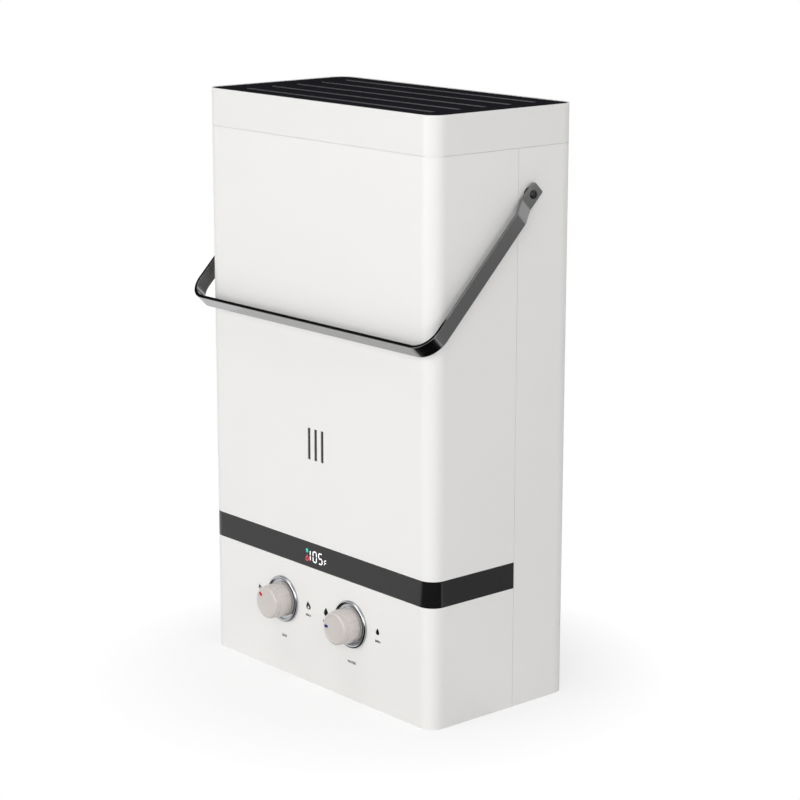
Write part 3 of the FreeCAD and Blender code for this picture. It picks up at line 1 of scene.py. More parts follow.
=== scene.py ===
"""Portable propane water heater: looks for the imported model.

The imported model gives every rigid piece. This script dresses it with procedural materials. It swaps
the knobs, bezels, handle, screws and fittings for finely rounded ones, prints the signs, lights the
display and sets the studio round it. Lengths are in metres, +Z is up and the front faces -Y.
"""

import logging
import math
from dataclasses import dataclass, field
from enum import Enum

import bmesh
import bpy
import numpy as np
from mathutils import Matrix, Vector


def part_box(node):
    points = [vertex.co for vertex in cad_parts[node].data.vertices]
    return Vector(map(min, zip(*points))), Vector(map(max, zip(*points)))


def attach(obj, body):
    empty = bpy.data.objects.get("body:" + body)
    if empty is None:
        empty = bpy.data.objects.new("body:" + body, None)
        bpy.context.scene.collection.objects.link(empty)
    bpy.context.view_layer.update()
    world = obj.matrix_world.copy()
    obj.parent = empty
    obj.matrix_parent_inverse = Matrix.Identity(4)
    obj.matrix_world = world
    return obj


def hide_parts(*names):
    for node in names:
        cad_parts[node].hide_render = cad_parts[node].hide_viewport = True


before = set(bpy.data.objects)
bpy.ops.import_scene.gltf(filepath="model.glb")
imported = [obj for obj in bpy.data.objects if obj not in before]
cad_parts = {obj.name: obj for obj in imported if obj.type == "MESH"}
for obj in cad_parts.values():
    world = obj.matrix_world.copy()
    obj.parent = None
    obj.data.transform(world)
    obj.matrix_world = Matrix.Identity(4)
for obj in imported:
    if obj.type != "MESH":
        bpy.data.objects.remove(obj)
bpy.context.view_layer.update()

LOG = logging.getLogger("heater")
MM = 0.001
# Noise runs from 0 to 1, but hardly ever leaves this band.
NOISE_LOW = 0.3
NOISE_HIGH = 0.7
# Patches of colour drift are about a tenth of a metre wide.
DRIFT_SCALE = 9.0
MIRROR_ROUGHNESS = 0.02
# Printed and lit shapes start this far (mm) below the face that carries them.
SUNK = 0.01


def linear(hex_colour: str) -> tuple[float, float, float, float]:
    """Turn an sRGB hex colour into linear light.

    Args:
        hex_colour: six hex digits with a leading hash sign.

    Returns:
        Red, green, blue in linear light and an alpha of one.
    """
    values = np.array([int(hex_colour[i:i + 2], 16) for i in (1, 3, 5)]) / 255.0
    light = np.where(values <= 0.04045, values / 12.92, ((values + 0.055) / 1.055) ** 2.4)
    return (*light.tolist(), 1.0)


def add(tree: bpy.types.NodeTree, kind: str, links: dict | None = None,
        **settings: object) -> bpy.types.Node:
    """Add one node with its settings, values and links.

    Args:
        tree: node tree that gets the node.
        kind: Blender's type name of the node.
        links: input name or index to a socket that feeds it, or to a plain value.
        settings: attributes of the node.

    Returns:
        The new node.
    """
    node = tree.nodes.new(kind)
    for name, value in settings.items():
        setattr(node, name, value)
    for name, value in (links or {}).items():
        if isinstance(value, bpy.types.NodeSocket):
            tree.links.new(value, node.inputs[name])
        else:
            node.inputs[name].default_value = value
    return node


def place_object(name: str, data: bpy.types.ID) -> bpy.types.Object:
    """Put a new object into the scene.

    Args:
        name: name of the object.
        data: its mesh, text, camera or lamp.

    Returns:
        The new object.
    """
    thing = bpy.data.objects.new(name, data)
    bpy.context.scene.collection.objects.link(thing)
    return thing


def bare_tree(owner: bpy.types.Material | bpy.types.World) -> bpy.types.NodeTree:
    """Give a material or world an empty node tree.

    Args:
        owner: material or world.

    Returns:
        Its node tree, without nodes.
    """
    owner.use_nodes = True
    owner.node_tree.nodes.clear()
    return owner.node_tree


# Finishes


@dataclass(frozen=True)
class Finish:
    """A surface as made: its colour, gloss and the fine unevenness of its skin.

    grain_mm is the spacing of the surface's bumps, bump_mm their height, tint how far the colour
    drifts across the piece and rough_swing how far the gloss does.
    """

    name: str
    colour: str
    roughness: float = 0.4
    metallic: float = 0.0
    ior: float = 1.5
    specular: float = 0.5
    grain_mm: float = 1.2
    bump_mm: float = 0.01
    tint: float = 0.03
    rough_swing: float = 0.04
    stretch: tuple[float, float, float] = (1.0, 1.0, 1.0)
    coat: float = 0.0
    coat_roughness: float = 0.1
    glow: str = ""
    glow_strength: float = 0.0

    def material(self) -> bpy.types.Material:
        """Build the material once and reuse it.

        Returns:
            The Blender material of this finish.
        """
        known = bpy.data.materials.get(self.name)
        if known:
            return known
        material = bpy.data.materials.new(self.name)
        tree = bare_tree(material)
        place = add(tree, "ShaderNodeTexCoord")
        stretched = add(tree, "ShaderNodeMapping",
                        {"Vector": place.outputs["Object"], "Scale": self.stretch})
        grain = add(tree, "ShaderNodeTexNoise", {
            "Vector": stretched.outputs[0], "Scale": 1.0 / (self.grain_mm * MM), "Detail": 3.0,
            "Roughness": 0.55})
        drift = add(tree, "ShaderNodeTexNoise",
                    {"Vector": place.outputs["Object"], "Scale": DRIFT_SCALE, "Detail": 2.0})
        base = np.array(linear(self.colour)[:3])
        ramp = add(tree, "ShaderNodeValToRGB", {"Fac": drift.outputs["Fac"]})
        shades = (base * (1 - self.tint), np.minimum(base * (1 + self.tint), 1.0))
        for stop, position, shade in zip(ramp.color_ramp.elements, (NOISE_LOW, NOISE_HIGH), shades):
            stop.position = position
            stop.color = (*shade.tolist(), 1.0)
        gloss = add(tree, "ShaderNodeMapRange", {
            "Value": grain.outputs["Fac"], "From Min": NOISE_LOW, "From Max": NOISE_HIGH,
            "To Min": max(self.roughness - self.rough_swing, MIRROR_ROUGHNESS),
            "To Max": min(self.roughness + self.rough_swing, 1.0)})
        bump = add(tree, "ShaderNodeBump", {"Height": grain.outputs["Fac"], "Strength": 1.0,
                                            "Distance": self.bump_mm * MM})
        surface = add(tree, "ShaderNodeBsdfPrincipled", {
            "Base Color": ramp.outputs["Color"], "Roughness": gloss.outputs["Result"],
            "Normal": bump.outputs["Normal"],
            "Metallic": self.metallic, "IOR": self.ior, "Specular IOR Level": self.specular,
            "Coat Weight": self.coat, "Coat Roughness": self.coat_roughness})
        if self.glow:
            surface.inputs["Emission Color"].default_value = linear(self.glow)
            surface.inputs["Emission Strength"].default_value = self.glow_strength
        add(tree, "ShaderNodeOutputMaterial", {"Surface": surface.outputs[0]})
        return material


# Powder coat on sheet steel: baked resin with a fine orange peel that softens the reflections.
WHITE_POWDER = Finish("white_powder_coat", "#eeedeb", 0.42, grain_mm=1.6, bump_mm=0.006, tint=0.006)
# The cap is moulded and painted to match, so it is a little smoother than the sheet.
WHITE_CAP = Finish("white_painted_cap", "#ebeae8", 0.38, grain_mm=2.0, bump_mm=0.004, tint=0.005)
# Baked enamel on the bent strip: flowed out flat, so near black with clear bright reflections.
BLACK_ENAMEL = Finish("black_enamel", "#080809", 0.18, ior=1.8, specular=1.0, grain_mm=2.5,
                      bump_mm=0.001, tint=0.02, rough_swing=0.02, coat=1.0, coat_roughness=0.05)
# Blackened steel screw: a thin dull oxide that stays darker than the enamel round it.
BLACK_OXIDE = Finish("black_oxide_steel", "#0a0a0b", 0.36, grain_mm=0.5, bump_mm=0.002, tint=0.03)
# Powder coated pressed sheet: dark with a fine peel that breaks the highlights up.
BLACK_GRILLE = Finish("black_grille_powder_coat", "#222226", 0.5, specular=0.0, grain_mm=0.9,
                      bump_mm=0.003, tint=0.04)
# Extruded smoked acrylic strip: smooth through and through, so a clear even gloss.
BAND_ACRYLIC = Finish("smoked_acrylic", "#181818", 0.16, specular=0.4, grain_mm=4.0, bump_mm=0.0,
                      tint=0.008, rough_swing=0.01)
# Slot edges of the grille: a painted highlight, a mid grey that stands in for the light caught by the
# folded lip, so a fine light line shows.
GRILLE_EDGE_HIGHLIGHT = Finish("painted_slot_highlight", "#5c5c5e", 0.4, grain_mm=0.6, bump_mm=0.002, tint=0.04)
# Injection moulded ABS from a finely polished mould: warm grey with a satin skin.
KNOB_ABS = Finish("warm_grey_abs", "#cdc6c2", 0.34, grain_mm=0.8, bump_mm=0.002, tint=0.01,
                  coat=0.4, coat_roughness=0.2)
# Nickel and chrome plated moulding: mirror bright, a little soft from the moulding below it.
BEZEL_CHROME = Finish("chrome_plate", "#b4b6b9", 0.12, metallic=1.0, grain_mm=1.0, bump_mm=0.001,
                      tint=0.01)
# Two shot moulded marks in the knob's face.
RED_INLAY = Finish("red_moulded_mark", "#c80a1e", 0.45, specular=0.2, grain_mm=0.6, bump_mm=0.002,
                   tint=0.02)
BLUE_INLAY = Finish("blue_moulded_mark", "#0a1a78", 0.45, specular=0.2, grain_mm=0.6, bump_mm=0.002,
                    tint=0.02)
# Hot dipped zinc on sheet: broad soft crystals that catch the light apart.
GALVANISED = Finish("galvanised_sheet", "#a9adb0", 0.42, metallic=1.0, grain_mm=7.0, bump_mm=0.008,
                    tint=0.1, rough_swing=0.12)
# Cold rolled steel, drawn along its length: fine lines that stretch the highlights.
ROLLED_STEEL = Finish("rolled_steel", "#b9bbbd", 0.34, metallic=1.0, grain_mm=0.6, bump_mm=0.003,
                      tint=0.04, stretch=(1.0, 1.0, 0.06))
# Die cast alloy, tumbled: dull and finely pebbled.
CAST_ALLOY = Finish("cast_alloy", "#aaacae", 0.55, metallic=1.0, grain_mm=0.7, bump_mm=0.04,
                    tint=0.06)
# Brass turned on a lathe: bright with fine rings round the axis.
TURNED_BRASS = Finish("turned_brass", "#c6a552", 0.27, metallic=1.0, grain_mm=0.35, bump_mm=0.003,
                      tint=0.05, stretch=(0.1, 0.1, 1.0))
# Drawn copper, darkened in patches by heat and handling.
DRAWN_COPPER = Finish("drawn_copper", "#b8683f", 0.3, metallic=1.0, grain_mm=5.0, bump_mm=0.004,
                      tint=0.12, rough_swing=0.1)
# Calendered nitrile sheet: matte and slightly grainy.
RUBBER_SHEET = Finish("rubber_sheet", "#26262a", 0.75, grain_mm=0.5, bump_mm=0.02, tint=0.05)
# Black and grey PBT from a spark eroded mould: an even fine grain without shine.
BLACK_PBT = Finish("black_pbt", "#1e1f21", 0.55, grain_mm=0.45, bump_mm=0.015, tint=0.03)
GREY_PBT = Finish("grey_pbt", "#7d8186", 0.5, grain_mm=0.45, bump_mm=0.015, tint=0.03)
# Fired alumina with a thin glaze: creamy with sharp small highlights.
GLAZED_CERAMIC = Finish("glazed_ceramic", "#efe9dd", 0.18, grain_mm=3.0, bump_mm=0.004, tint=0.02,
                        coat=0.5)
# Split mica over a dark chamber: brownish, in flat glossy flakes.
MICA_SHEET = Finish("mica_sheet", "#0f0d0b", 0.3, grain_mm=6.0, bump_mm=0.002, tint=0.1)
DISPLAY_BODY = Finish("black_display_resin", "#101214", 0.3, grain_mm=1.0, bump_mm=0.002, tint=0.03)
# Shrunk film on the cells: smooth and glossy.
CELL_SLEEVE = Finish("shrunk_cell_sleeve", "#3c3f45", 0.3, grain_mm=2.0, bump_mm=0.003, tint=0.04,
                     coat=0.3)
# Screen printed epoxy ink: thin, flat and dull.
PRINT_INK = Finish("dark_screen_ink", "#0c0c0d", 0.5, specular=0.1, grain_mm=0.4, bump_mm=0.001,
                   tint=0.02)
# Lit segments that shine through the strip.
DIGIT_LIGHT = Finish("white_segment_light", "#eef1f4", 0.4, tint=0.0, glow="#f4f6f8",
                     glow_strength=0.75)
CYAN_LIGHT = Finish("cyan_segment_light", "#3fd0bd", 0.4, tint=0.0, glow="#37cfba",
                    glow_strength=0.55)
RED_LIGHT = Finish("red_segment_light", "#d83a42", 0.4, tint=0.0, glow="#e0373f", glow_strength=0.5)

NODE_FINISH: dict[str, Finish] = {
    "front_cover": WHITE_POWDER, "rear_casing": WHITE_POWDER, "top_cap": WHITE_CAP,
    "top_grille": BLACK_GRILLE,
    "control_band": BAND_ACRYLIC, "display_module": DISPLAY_BODY, "flame_window": MICA_SHEET,
    "base_plate": GALVANISED, "knob_bezels": BEZEL_CHROME, "carry_handle": BLACK_ENAMEL,
    "handle_spacers": BLACK_PBT, "handle_screws": BLACK_ENAMEL, "pivot_plates": GALVANISED,
    "gas_valve_body": CAST_ALLOY, "gas_solenoid": BLACK_PBT, "water_valve_body": TURNED_BRASS,
    "water_valve_cover": CAST_ALLOY, "diaphragm": RUBBER_SHEET, "push_rod": TURNED_BRASS,
    "valve_yoke": GALVANISED, "micro_switch": BLACK_PBT, "water_inlet": TURNED_BRASS,
    "hot_water_outlet": TURNED_BRASS, "gas_inlet": TURNED_BRASS, "drain_plug": TURNED_BRASS,
    "mounting_brackets": GALVANISED, "burner_frame": GALVANISED, "burner_bars": ROLLED_STEEL,
    "gas_manifold": ROLLED_STEEL, "gas_feed_pipe": ROLLED_STEEL, "combustion_chamber": DRAWN_COPPER,
    "exchanger_fins": DRAWN_COPPER, "water_coil": DRAWN_COPPER, "hot_water_pipe": DRAWN_COPPER,
    "flue_hood": GALVANISED, "spark_electrode": GLAZED_CERAMIC, "flame_sensor": GLAZED_CERAMIC,
    "ignition_controller": BLACK_PBT, "tilt_switch": GREY_PBT, "overheat_thermostat": GREY_PBT,
    "battery_box": BLACK_PBT, "battery_door": BLACK_PBT, "battery_cells": CELL_SLEEVE,
    "gas_knob": KNOB_ABS, "gas_knob_pointer": RED_INLAY, "gas_spindle": ROLLED_STEEL,
    "water_knob": KNOB_ABS, "water_knob_pointer": BLUE_INLAY, "water_spindle": ROLLED_STEEL,
}


# Surfaces


# Half the angle (radians) between two stretches of a line that hardly bends.
ALMOST_STRAIGHT = 1.55
# Points closer together than this (m) are one.
SAME_SPOT = 1e-7


def rounded_path(corners: list[tuple[float, float, float]], steps: int = 6) -> np.ndarray:
    """Round the inner corners of an open line in a plane with arcs that touch both neighbours.

    Args:
        corners: first coordinate, second coordinate and round of each corner.
        steps: points along each arc.

    Returns:
        Points of the line, one row each.
    """
    spots = np.array([c[:2] for c in corners], dtype=float)
    points = [spots[:1]]
    for before, corner, after, size in zip(spots, spots[1:], spots[2:],
                                           [c[2] for c in corners[1:-1]]):
        into = (before - corner) / np.linalg.norm(before - corner)
        out = (after - corner) / np.linalg.norm(after - corner)
        half = math.acos(float(np.clip(into @ out, -1, 1))) / 2
        if size <= 0 or half > ALMOST_STRAIGHT:
            points.append(corner[None, :])
            continue
        middle = (into + out) / np.linalg.norm(into + out)
        centre = corner + middle * size / math.sin(half)
        start = corner + into * size / math.tan(half) - centre
        end = corner + out * size / math.tan(half) - centre
        share = np.linspace(0, 1, steps)[:, None]
        sweep = math.pi - 2 * half
        arc = (start * np.sin((1 - share) * sweep) + end * np.sin(share * sweep)) / math.sin(sweep)
        points.append(centre + arc)
    points.append(spots[-1:])
    return np.concatenate(points)


@dataclass(frozen=True)
class Stand:
    """Where a turned or printed piece stands: its origin and three directions."""

    origin: tuple[float, float, float]
    across: tuple[float, float, float] = (1.0, 0.0, 0.0)
    up: tuple[float, float, float] = (0.0, 0.0, 1.0)
    out: tuple[float, float, float] = (0.0, -1.0, 0.0)

    def place(self, points: np.ndarray) -> np.ndarray:
        """Move points from this stand's own directions, in millimetres, into the frame in metres.

        Args:
            points: last axis holds across, up and out.

        Returns:
            The same array in the frame.
        """
        turn = np.array([self.across, self.up, self.out])
        return np.array(self.origin) + MM * points @ turn


def grid_quads(rows: int, columns: int, wrap_rows: bool) -> np.ndarray:
    """Corner numbers of the quads of a grid whose columns close on themselves.

    Args:
        rows: count of rows.
        columns: count of columns.
        wrap_rows: whether the last row joins the first.

    Returns:
        One row of four corners for each quad.
    """
    row = np.arange(rows if wrap_rows else rows - 1)[:, None]
    column = np.arange(columns)[None, :]
    following = (row + 1) % rows
    beside = (column + 1) % columns
    quads = [row * columns + column, row * columns + beside, following * columns + beside,
             following * columns + column]
    return np.stack(np.broadcast_arrays(*quads), -1).reshape(-1, 4)


@dataclass
class Piece:
    """One new piece: its skin, finish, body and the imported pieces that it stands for."""

    name: str
    finish: Finish
    body: str
    slot: str
    replaces: tuple[str, ...] = ()
    crease_deg: float = 38.0

    def from_rings(self, rings: np.ndarray, wrap: bool = False) -> bpy.types.Object:
        """Build the piece from a grid of rings, with both ends closed unless the rings wrap round.

        Args:
            rings: rows by columns by three, in the frame.
            wrap: whether the last ring joins the first.

        Returns:
            The new object.
        """
        rows, columns = rings.shape[:2]
        faces = grid_quads(rows, columns, wrap).tolist()
        if not wrap:
            faces.append(list(range(columns)))
            faces.append(list(range((rows - 1) * columns, rows * columns)))
        return self.from_faces(rings.reshape(-1, 3), faces)

    def from_faces(self, points: np.ndarray, faces: list[list[int]]) -> bpy.types.Object:
        """Build the piece from points and faces and hand it to its body.

        Args:
            points: one row each, in the frame.
            faces: corner numbers of each face.

        Returns:
            The new object.
        """
        mesh = bpy.data.meshes.new(self.name)
        mesh.from_pydata(points.tolist(), [], faces)
        return self.finished(mesh)

    def finished(self, mesh: bpy.types.Mesh) -> bpy.types.Object:
        """Turn the faces outward, shade and dress the mesh and let it ride on its body.

        Args:
            mesh: closed mesh in the frame.

        Returns:
            The new object.
        """
        work = bmesh.new()
        work.from_mesh(mesh)
        bmesh.ops.remove_doubles(work, verts=work.verts, dist=SAME_SPOT)
        bmesh.ops.recalc_face_normals(work, faces=work.faces)
        work.to_mesh(mesh)
        work.free()
        mesh.shade_smooth()
        mesh.set_sharp_from_angle(angle=math.radians(self.crease_deg))
        mesh.materials.append(self.finish.material())
        piece = place_object(self.name, mesh)
        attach(piece, self.body)
        if self.replaces:
            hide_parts(*self.replaces)
        LOG.info("built %s with %d faces on %s", self.name, len(mesh.polygons), self.body)
        return piece


def turned_rings(stand: Stand, profile: np.ndarray, columns: int) -> np.ndarray:
    """Spin a profile of radius and height round a stand's outward axis.

    Each point is (radius cos a, radius sin a, height) with a running once round.

    Args:
        stand: place and directions.
        profile: radius and height in millimetres, one row each.
        columns: points round each ring.

    Returns:
        Rings in the frame.
    """
    angle = np.linspace(0, 2 * math.pi, columns, endpoint=False)
    radius = profile[:, :1]
    rings = np.stack([radius * np.cos(angle), radius * np.sin(angle),
                      np.broadcast_to(profile[:, 1:2], (len(profile), columns))], -1)
    return stand.place(rings)


def slab_rings(stand: Stand, outline: np.ndarray, low: float, high: float) -> np.ndarray:
    """Two rings of a flat outline, the sides of a thin slab.

    Args:
        stand: place and directions.
        outline: across and up in millimetres, one row each.
        low: height of the back.
        high: height of the front.

    Returns:
        Rings in the frame.
    """
    count = len(outline)
    rings = [np.column_stack([outline, np.full(count, height)]) for height in (low, high)]
    return stand.place(np.stack(rings))


def hollow_rings(stand: Stand, outer: np.ndarray, heart: np.ndarray, high: float) -> np.ndarray:
    """Four rings of a thin slab with an open heart: up its outside and down its hole.

    Args:
        stand: place and directions.
        outer: outline in millimetres, one row each.
        heart: outline of the hole, with as many rows.
        high: height of the front.

    Returns:
        Rings in the frame.
    """
    levels = [(outer, -SUNK), (outer, high), (heart, high), (heart, -SUNK)]
    rings = [np.column_stack([line, np.full(len(line), level)]) for line, level in levels]
    return stand.place(np.stack(rings))


def node_box(name: str) -> tuple[np.ndarray, np.ndarray]:
    """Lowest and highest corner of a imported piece.

    Args:
        name: node.

    Returns:
        Both corners as arrays.
    """
    low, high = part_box(name)
    return np.array(low), np.array(high)


# Knobs and bezels


class Knob(Enum):
    """The two knobs: name, slot of the mark, and the angle (degrees) that the mark points to."""

    GAS = ("gas", "red_plastic", 142.0)
    WATER = ("water", "blue_plastic", 180.0)


@dataclass
class KnobSet:
    """A ribbed knob with a plain collar, its coloured mark and its plated bezel. Sizes in mm."""

    kind: Knob
    reach: float = 22.8
    stand_off: float = 2.6
    collar_radius: float = 16.8
    grip_radius: float = 17.0
    collar_length: float = 5.2
    edge_round: float = 2.0
    foot_flare: float = 0.4
    flare_length: float = 8.0
    groove: float = 0.35
    rim_width: float = 3.0
    middle_hole: float = 0.6
    rib_count: int = 12
    rib_height: float = 0.6
    rib_width: float = 0.9
    mark_length: float = 5.0
    mark_width: float = 2.8
    mark_from_edge: float = 2.4
    mark_depth: float = 1.1
    bezel_radius: float = 24.4
    bezel_height: float = 2.7
    bezel_rim: float = 3.1
    bezel_floor: float = 0.9
    bezel_gap: float = 0.9
    columns: int = 288
    bezel_columns: int = 160

    def stand(self) -> Stand:
        """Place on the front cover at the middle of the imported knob.

        Returns:
            Stand on the cover's front face.
        """
        low, high = node_box(self.kind.value[0] + "_knob")
        front = node_box("front_cover")[0][1]
        middle = (low + high) / 2
        return Stand((float(middle[0]), float(front), float(middle[2])))

    def knob(self) -> None:
        """Spin the knob's profile and raise thin ribs along the grip.

        The radius is the profile's plus rib_height times a bell curve of the arc to the nearest
        rib, faded out at the collar and near the foot.
        """
        top = self.reach
        foot = self.stand_off
        collar = top - self.collar_length
        flare_end = foot + self.flare_length
        profile = rounded_path([
            (self.middle_hole, foot, 0), (self.grip_radius + self.foot_flare, foot, 0.6),
            (self.grip_radius + self.foot_flare / 2, flare_end, 0),
            (self.grip_radius, collar - 2 * self.groove, 0.3),
            (self.grip_radius - 0.45, collar - self.groove, 0.2),
            (self.collar_radius - 0.1, collar, 0.4), (self.collar_radius, top - 2.5, 0),
            (self.collar_radius - 0.1, top, self.edge_round),
            (self.collar_radius - self.rim_width, top, 0.3),
            (self.collar_radius - 3.3, top - 0.35, 0.3), (9.0, top - 0.45, 0),
            (self.middle_hole, top - 0.5, 0)], 9)
        lengths = np.linspace(0, 1, 7)[1:-1, None]
        start = np.flatnonzero(np.abs(profile[:, 1] - flare_end) < 1e-6)[0]
        run = profile[start] * (1 - lengths) + profile[start + 1] * lengths
        low_run = profile[start - 1] * (1 - lengths) + profile[start] * lengths
        profile = np.concatenate([profile[:start], low_run, profile[start:start + 1], run,
                                  profile[start + 1:]])
        stand = self.stand()
        angle = np.linspace(0, 2 * math.pi, self.columns, endpoint=False)
        pitch = 2 * math.pi / self.rib_count
        arc = (np.mod(angle + pitch / 2, pitch) - pitch / 2) * self.grip_radius
        rib = self.rib_height * np.exp(-(arc / self.rib_width * 2) ** 2)
        height = profile[:, 1:2]
        low_fade = np.clip((height - foot - 1.2) / 2.0, 0, 1)
        fade = low_fade * np.clip((collar - 0.8 - height) / 0.8, 0, 1)
        outer = np.clip((profile[:, :1] - self.grip_radius + 1.5) / 1.0, 0, 1)
        radius = profile[:, :1] + rib * fade * outer
        rings = np.stack([radius * np.cos(angle), radius * np.sin(angle),
                          np.broadcast_to(height, radius.shape)], -1)
        name = self.kind.value[0]
        Piece(f"{name}_knob_moulding", KNOB_ABS, f"{name}_knob", "knob_plastic", (f"{name}_knob",),
              50.0).from_rings(stand.place(rings))

    def mark(self) -> None:
        """Lay the coloured mark in the face: a bar with round ends, running toward the rim."""
        name, slot, angle = self.kind.value
        stand = self.stand()
        outer = self.collar_radius - self.mark_from_edge - self.mark_width / 2
        inner = outer - self.mark_length + self.mark_width
        turn = np.linspace(-math.pi / 2, math.pi / 2, 13)
        half = self.mark_width / 2
        outline = np.concatenate([
            np.column_stack([outer + half * np.cos(turn), half * np.sin(turn)]),
            np.column_stack([inner - half * np.cos(turn), -half * np.sin(turn)])])
        lean = math.radians(angle)
        outline = outline @ np.array([[math.cos(lean), math.sin(lean)],
                                      [-math.sin(lean), math.cos(lean)]])
        finish = RED_INLAY if self.kind is Knob.GAS else BLUE_INLAY
        Piece(f"{name}_mark", finish, f"{name}_knob", slot, (f"{name}_knob_pointer",)).from_rings(
            slab_rings(stand, outline, self.reach - self.mark_depth, self.reach))

    def bezel(self) -> None:
        """Spin the bezel: a rolled rim round a sunk floor."""
        rim = self.bezel_radius - self.bezel_rim
        well = self.grip_radius + self.bezel_gap
        profile = rounded_path([
            (self.bezel_radius, 0, 0), (self.bezel_radius, self.bezel_height, 1.3),
            (self.bezel_radius - self.bezel_rim / 2, self.bezel_height + 0.25, 0.9),
            (rim, self.bezel_height - 0.6, 0.9), (rim - 0.2, self.bezel_floor, 0.5),
            (well, self.bezel_floor, 0.15), (well, 0, 0)], 9)
        name = self.kind.value[0]
        Piece(f"{name}_bezel_ring", BEZEL_CHROME, "cabinet", "bezel_chrome", ("knob_bezels",),
              60.0).from_rings(
            turned_rings(self.stand(), profile, self.bezel_columns), wrap=True)

    def build(self) -> None:
        """Build knob, mark and bezel."""
        self.knob()
        self.mark()
        self.bezel()


# Carry handle


@dataclass
class CarryHandle:
    """Bent strip with narrowly rounded edges, and its two cross head screws. Sizes in mm.

    support is the distance from each round to a line that keeps the flat beside it flat.

    The centre line lies in a plane through the pivots: up one arm, across and down the other, its
    bends as arcs. The section is a rounded rectangle carried along it, square to the line.
    """

    reach: float = 191.6
    rest_deg: float = 45.2
    width: float = 15.0
    thickness: float = 3.5
    edge_round: float = 0.35
    support: float = 0.1
    end_round: float = 1.5
    end_past_pivot: float = 9.5
    arm_out: float = 9.2
    pivot_out: float = 3.6
    joggle_start: float = 14.0
    joggle_end: float = 29.0
    joggle_round: float = 7.0
    corner_round: float = 22.0
    screw_radius: float = 4.4
    screw_height: float = 1.9
    screw_in_node: float = 2.0
    dome_fall: float = 0.88
    cross_length: float = 2.9
    cross_width: float = 0.75
    cross_depth: float = 1.1
    cross_fade: float = 0.2
    cross_turn_deg: float = 20.0

    def pivot(self) -> np.ndarray:
        """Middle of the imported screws, on the hinge's axis.

        Returns:
            A point on the middle plane.
        """
        low, high = node_box("handle_spacers")
        return (low + high) / 2

    def centre_line(self, side: float) -> np.ndarray:
        """Centre line of the whole strip.

        Args:
            side: half width of the cabinet in millimetres.

        Returns:
            Distance across and along the arms, one row each.
        """
        at_arm = side + self.arm_out + self.thickness / 2
        at_pivot = side + self.pivot_out + self.thickness / 2
        right = [(at_pivot, -self.end_past_pivot, 0.0),
                 (at_pivot, self.joggle_start, self.joggle_round),
                 (at_arm, self.joggle_end, self.joggle_round),
                 (at_arm, self.reach, self.corner_round)]
        left = [(-x, along, size) for x, along, size in reversed(right)]
        return rounded_path(right + left, 22)

    def strip(self) -> None:
        """Carry the rounded section along the centre line."""
        side = float(node_box("rear_casing")[1][0]) / MM
        line = self.centre_line(side)
        step = np.linalg.norm(np.diff(line, axis=0), axis=1)
        keep = np.concatenate([[True], step > 1e-6])
        line = line[keep]
        travelled = np.concatenate([[0.0],
                                    np.cumsum(np.linalg.norm(np.diff(line, axis=0), axis=1))])
        extra = np.array([0.15, 0.4, 0.8, 1.5])
        spots = np.unique(np.concatenate([travelled, extra, travelled[-1] - extra]))
        line = np.column_stack([np.interp(spots, travelled, line[:, axis]) for axis in (0, 1)])
        ahead = np.gradient(line, axis=0)
        ahead /= np.linalg.norm(ahead, axis=1)[:, None]
        outward = np.column_stack([ahead[:, 1], -ahead[:, 0]])
        turn = np.linspace(0, math.pi / 2, 5)
        inner_x = self.thickness / 2 - self.edge_round
        inner_y = self.width / 2 - self.edge_round
        corner = np.column_stack([self.edge_round * np.cos(turn), self.edge_round * np.sin(turn)])
        corner = np.concatenate([[(self.edge_round, -self.support)], corner,
                                 [(-self.support, self.edge_round)]])
        section = np.concatenate([
            corner + (inner_x, inner_y), corner[::-1] * (-1, 1) + (-inner_x, inner_y),
            corner * (-1, -1) + (-inner_x, -inner_y), corner[::-1] * (1, -1) + (inner_x, -inner_y)])
        from_end = np.minimum(spots, spots[-1] - spots)
        dip = self.end_round - np.sqrt(np.maximum(self.end_round ** 2 - np.clip(
            self.end_round - from_end, 0, self.end_round) ** 2, 0))
        half_width = 1 - dip / (self.width / 2)
        flat = line[:, None, :] + outward[:, None, :] * section[None, :, :1]
        wide = section[None, :, 1] * half_width[:, None]
        lean = math.radians(self.rest_deg)
        along = np.array([-math.cos(lean), -math.sin(lean)])
        across = np.array([-math.sin(lean), math.cos(lean)])
        depth = flat[..., 1] * along[0] + wide * across[0]
        height = flat[..., 1] * along[1] + wide * across[1]
        rings = self.pivot() + MM * np.stack([flat[..., 0], depth, height], -1)
        Piece("handle_strip", BLACK_ENAMEL, "carry_handle", "black_paint", ("carry_handle",),
              60.0).from_rings(rings)

    def screw(self, hand: int) -> None:
        """Dome one screw head and press its cross recess.

        The height is a shallow dome less a recess that is deep where the point lies within either
        bar of the cross and fades over cross_fade.

        Args:
            hand: 1 for the right side, -1 for the left.
        """
        seat = float(node_box("handle_screws")[1][0]) / MM - self.screw_in_node
        pivot = self.pivot()
        stand = Stand((hand * seat * MM, float(pivot[1]), float(pivot[2])), (0, 1, 0), (0, 0, 1),
                      (hand, 0, 0))
        radius = np.concatenate([np.linspace(0.15, self.screw_radius - 0.8, 26), np.linspace(
            self.screw_radius - 0.7, self.screw_radius, 6)])[::-1, None]
        angle = np.linspace(0, 2 * math.pi, 144, endpoint=False) + math.radians(self.cross_turn_deg)
        share = radius / self.screw_radius
        dome = self.screw_height * np.sqrt(np.maximum(1 - self.dome_fall * share ** 3, 0.0))
        x = radius * np.cos(angle)
        y = radius * np.sin(angle)

        def bar(along: np.ndarray, over: np.ndarray) -> np.ndarray:
            """Depth share of one bar of the cross."""
            inside = np.minimum(self.cross_length - np.abs(along), self.cross_width - np.abs(over))
            return np.clip(inside / self.cross_fade + 0.5, 0, 1)

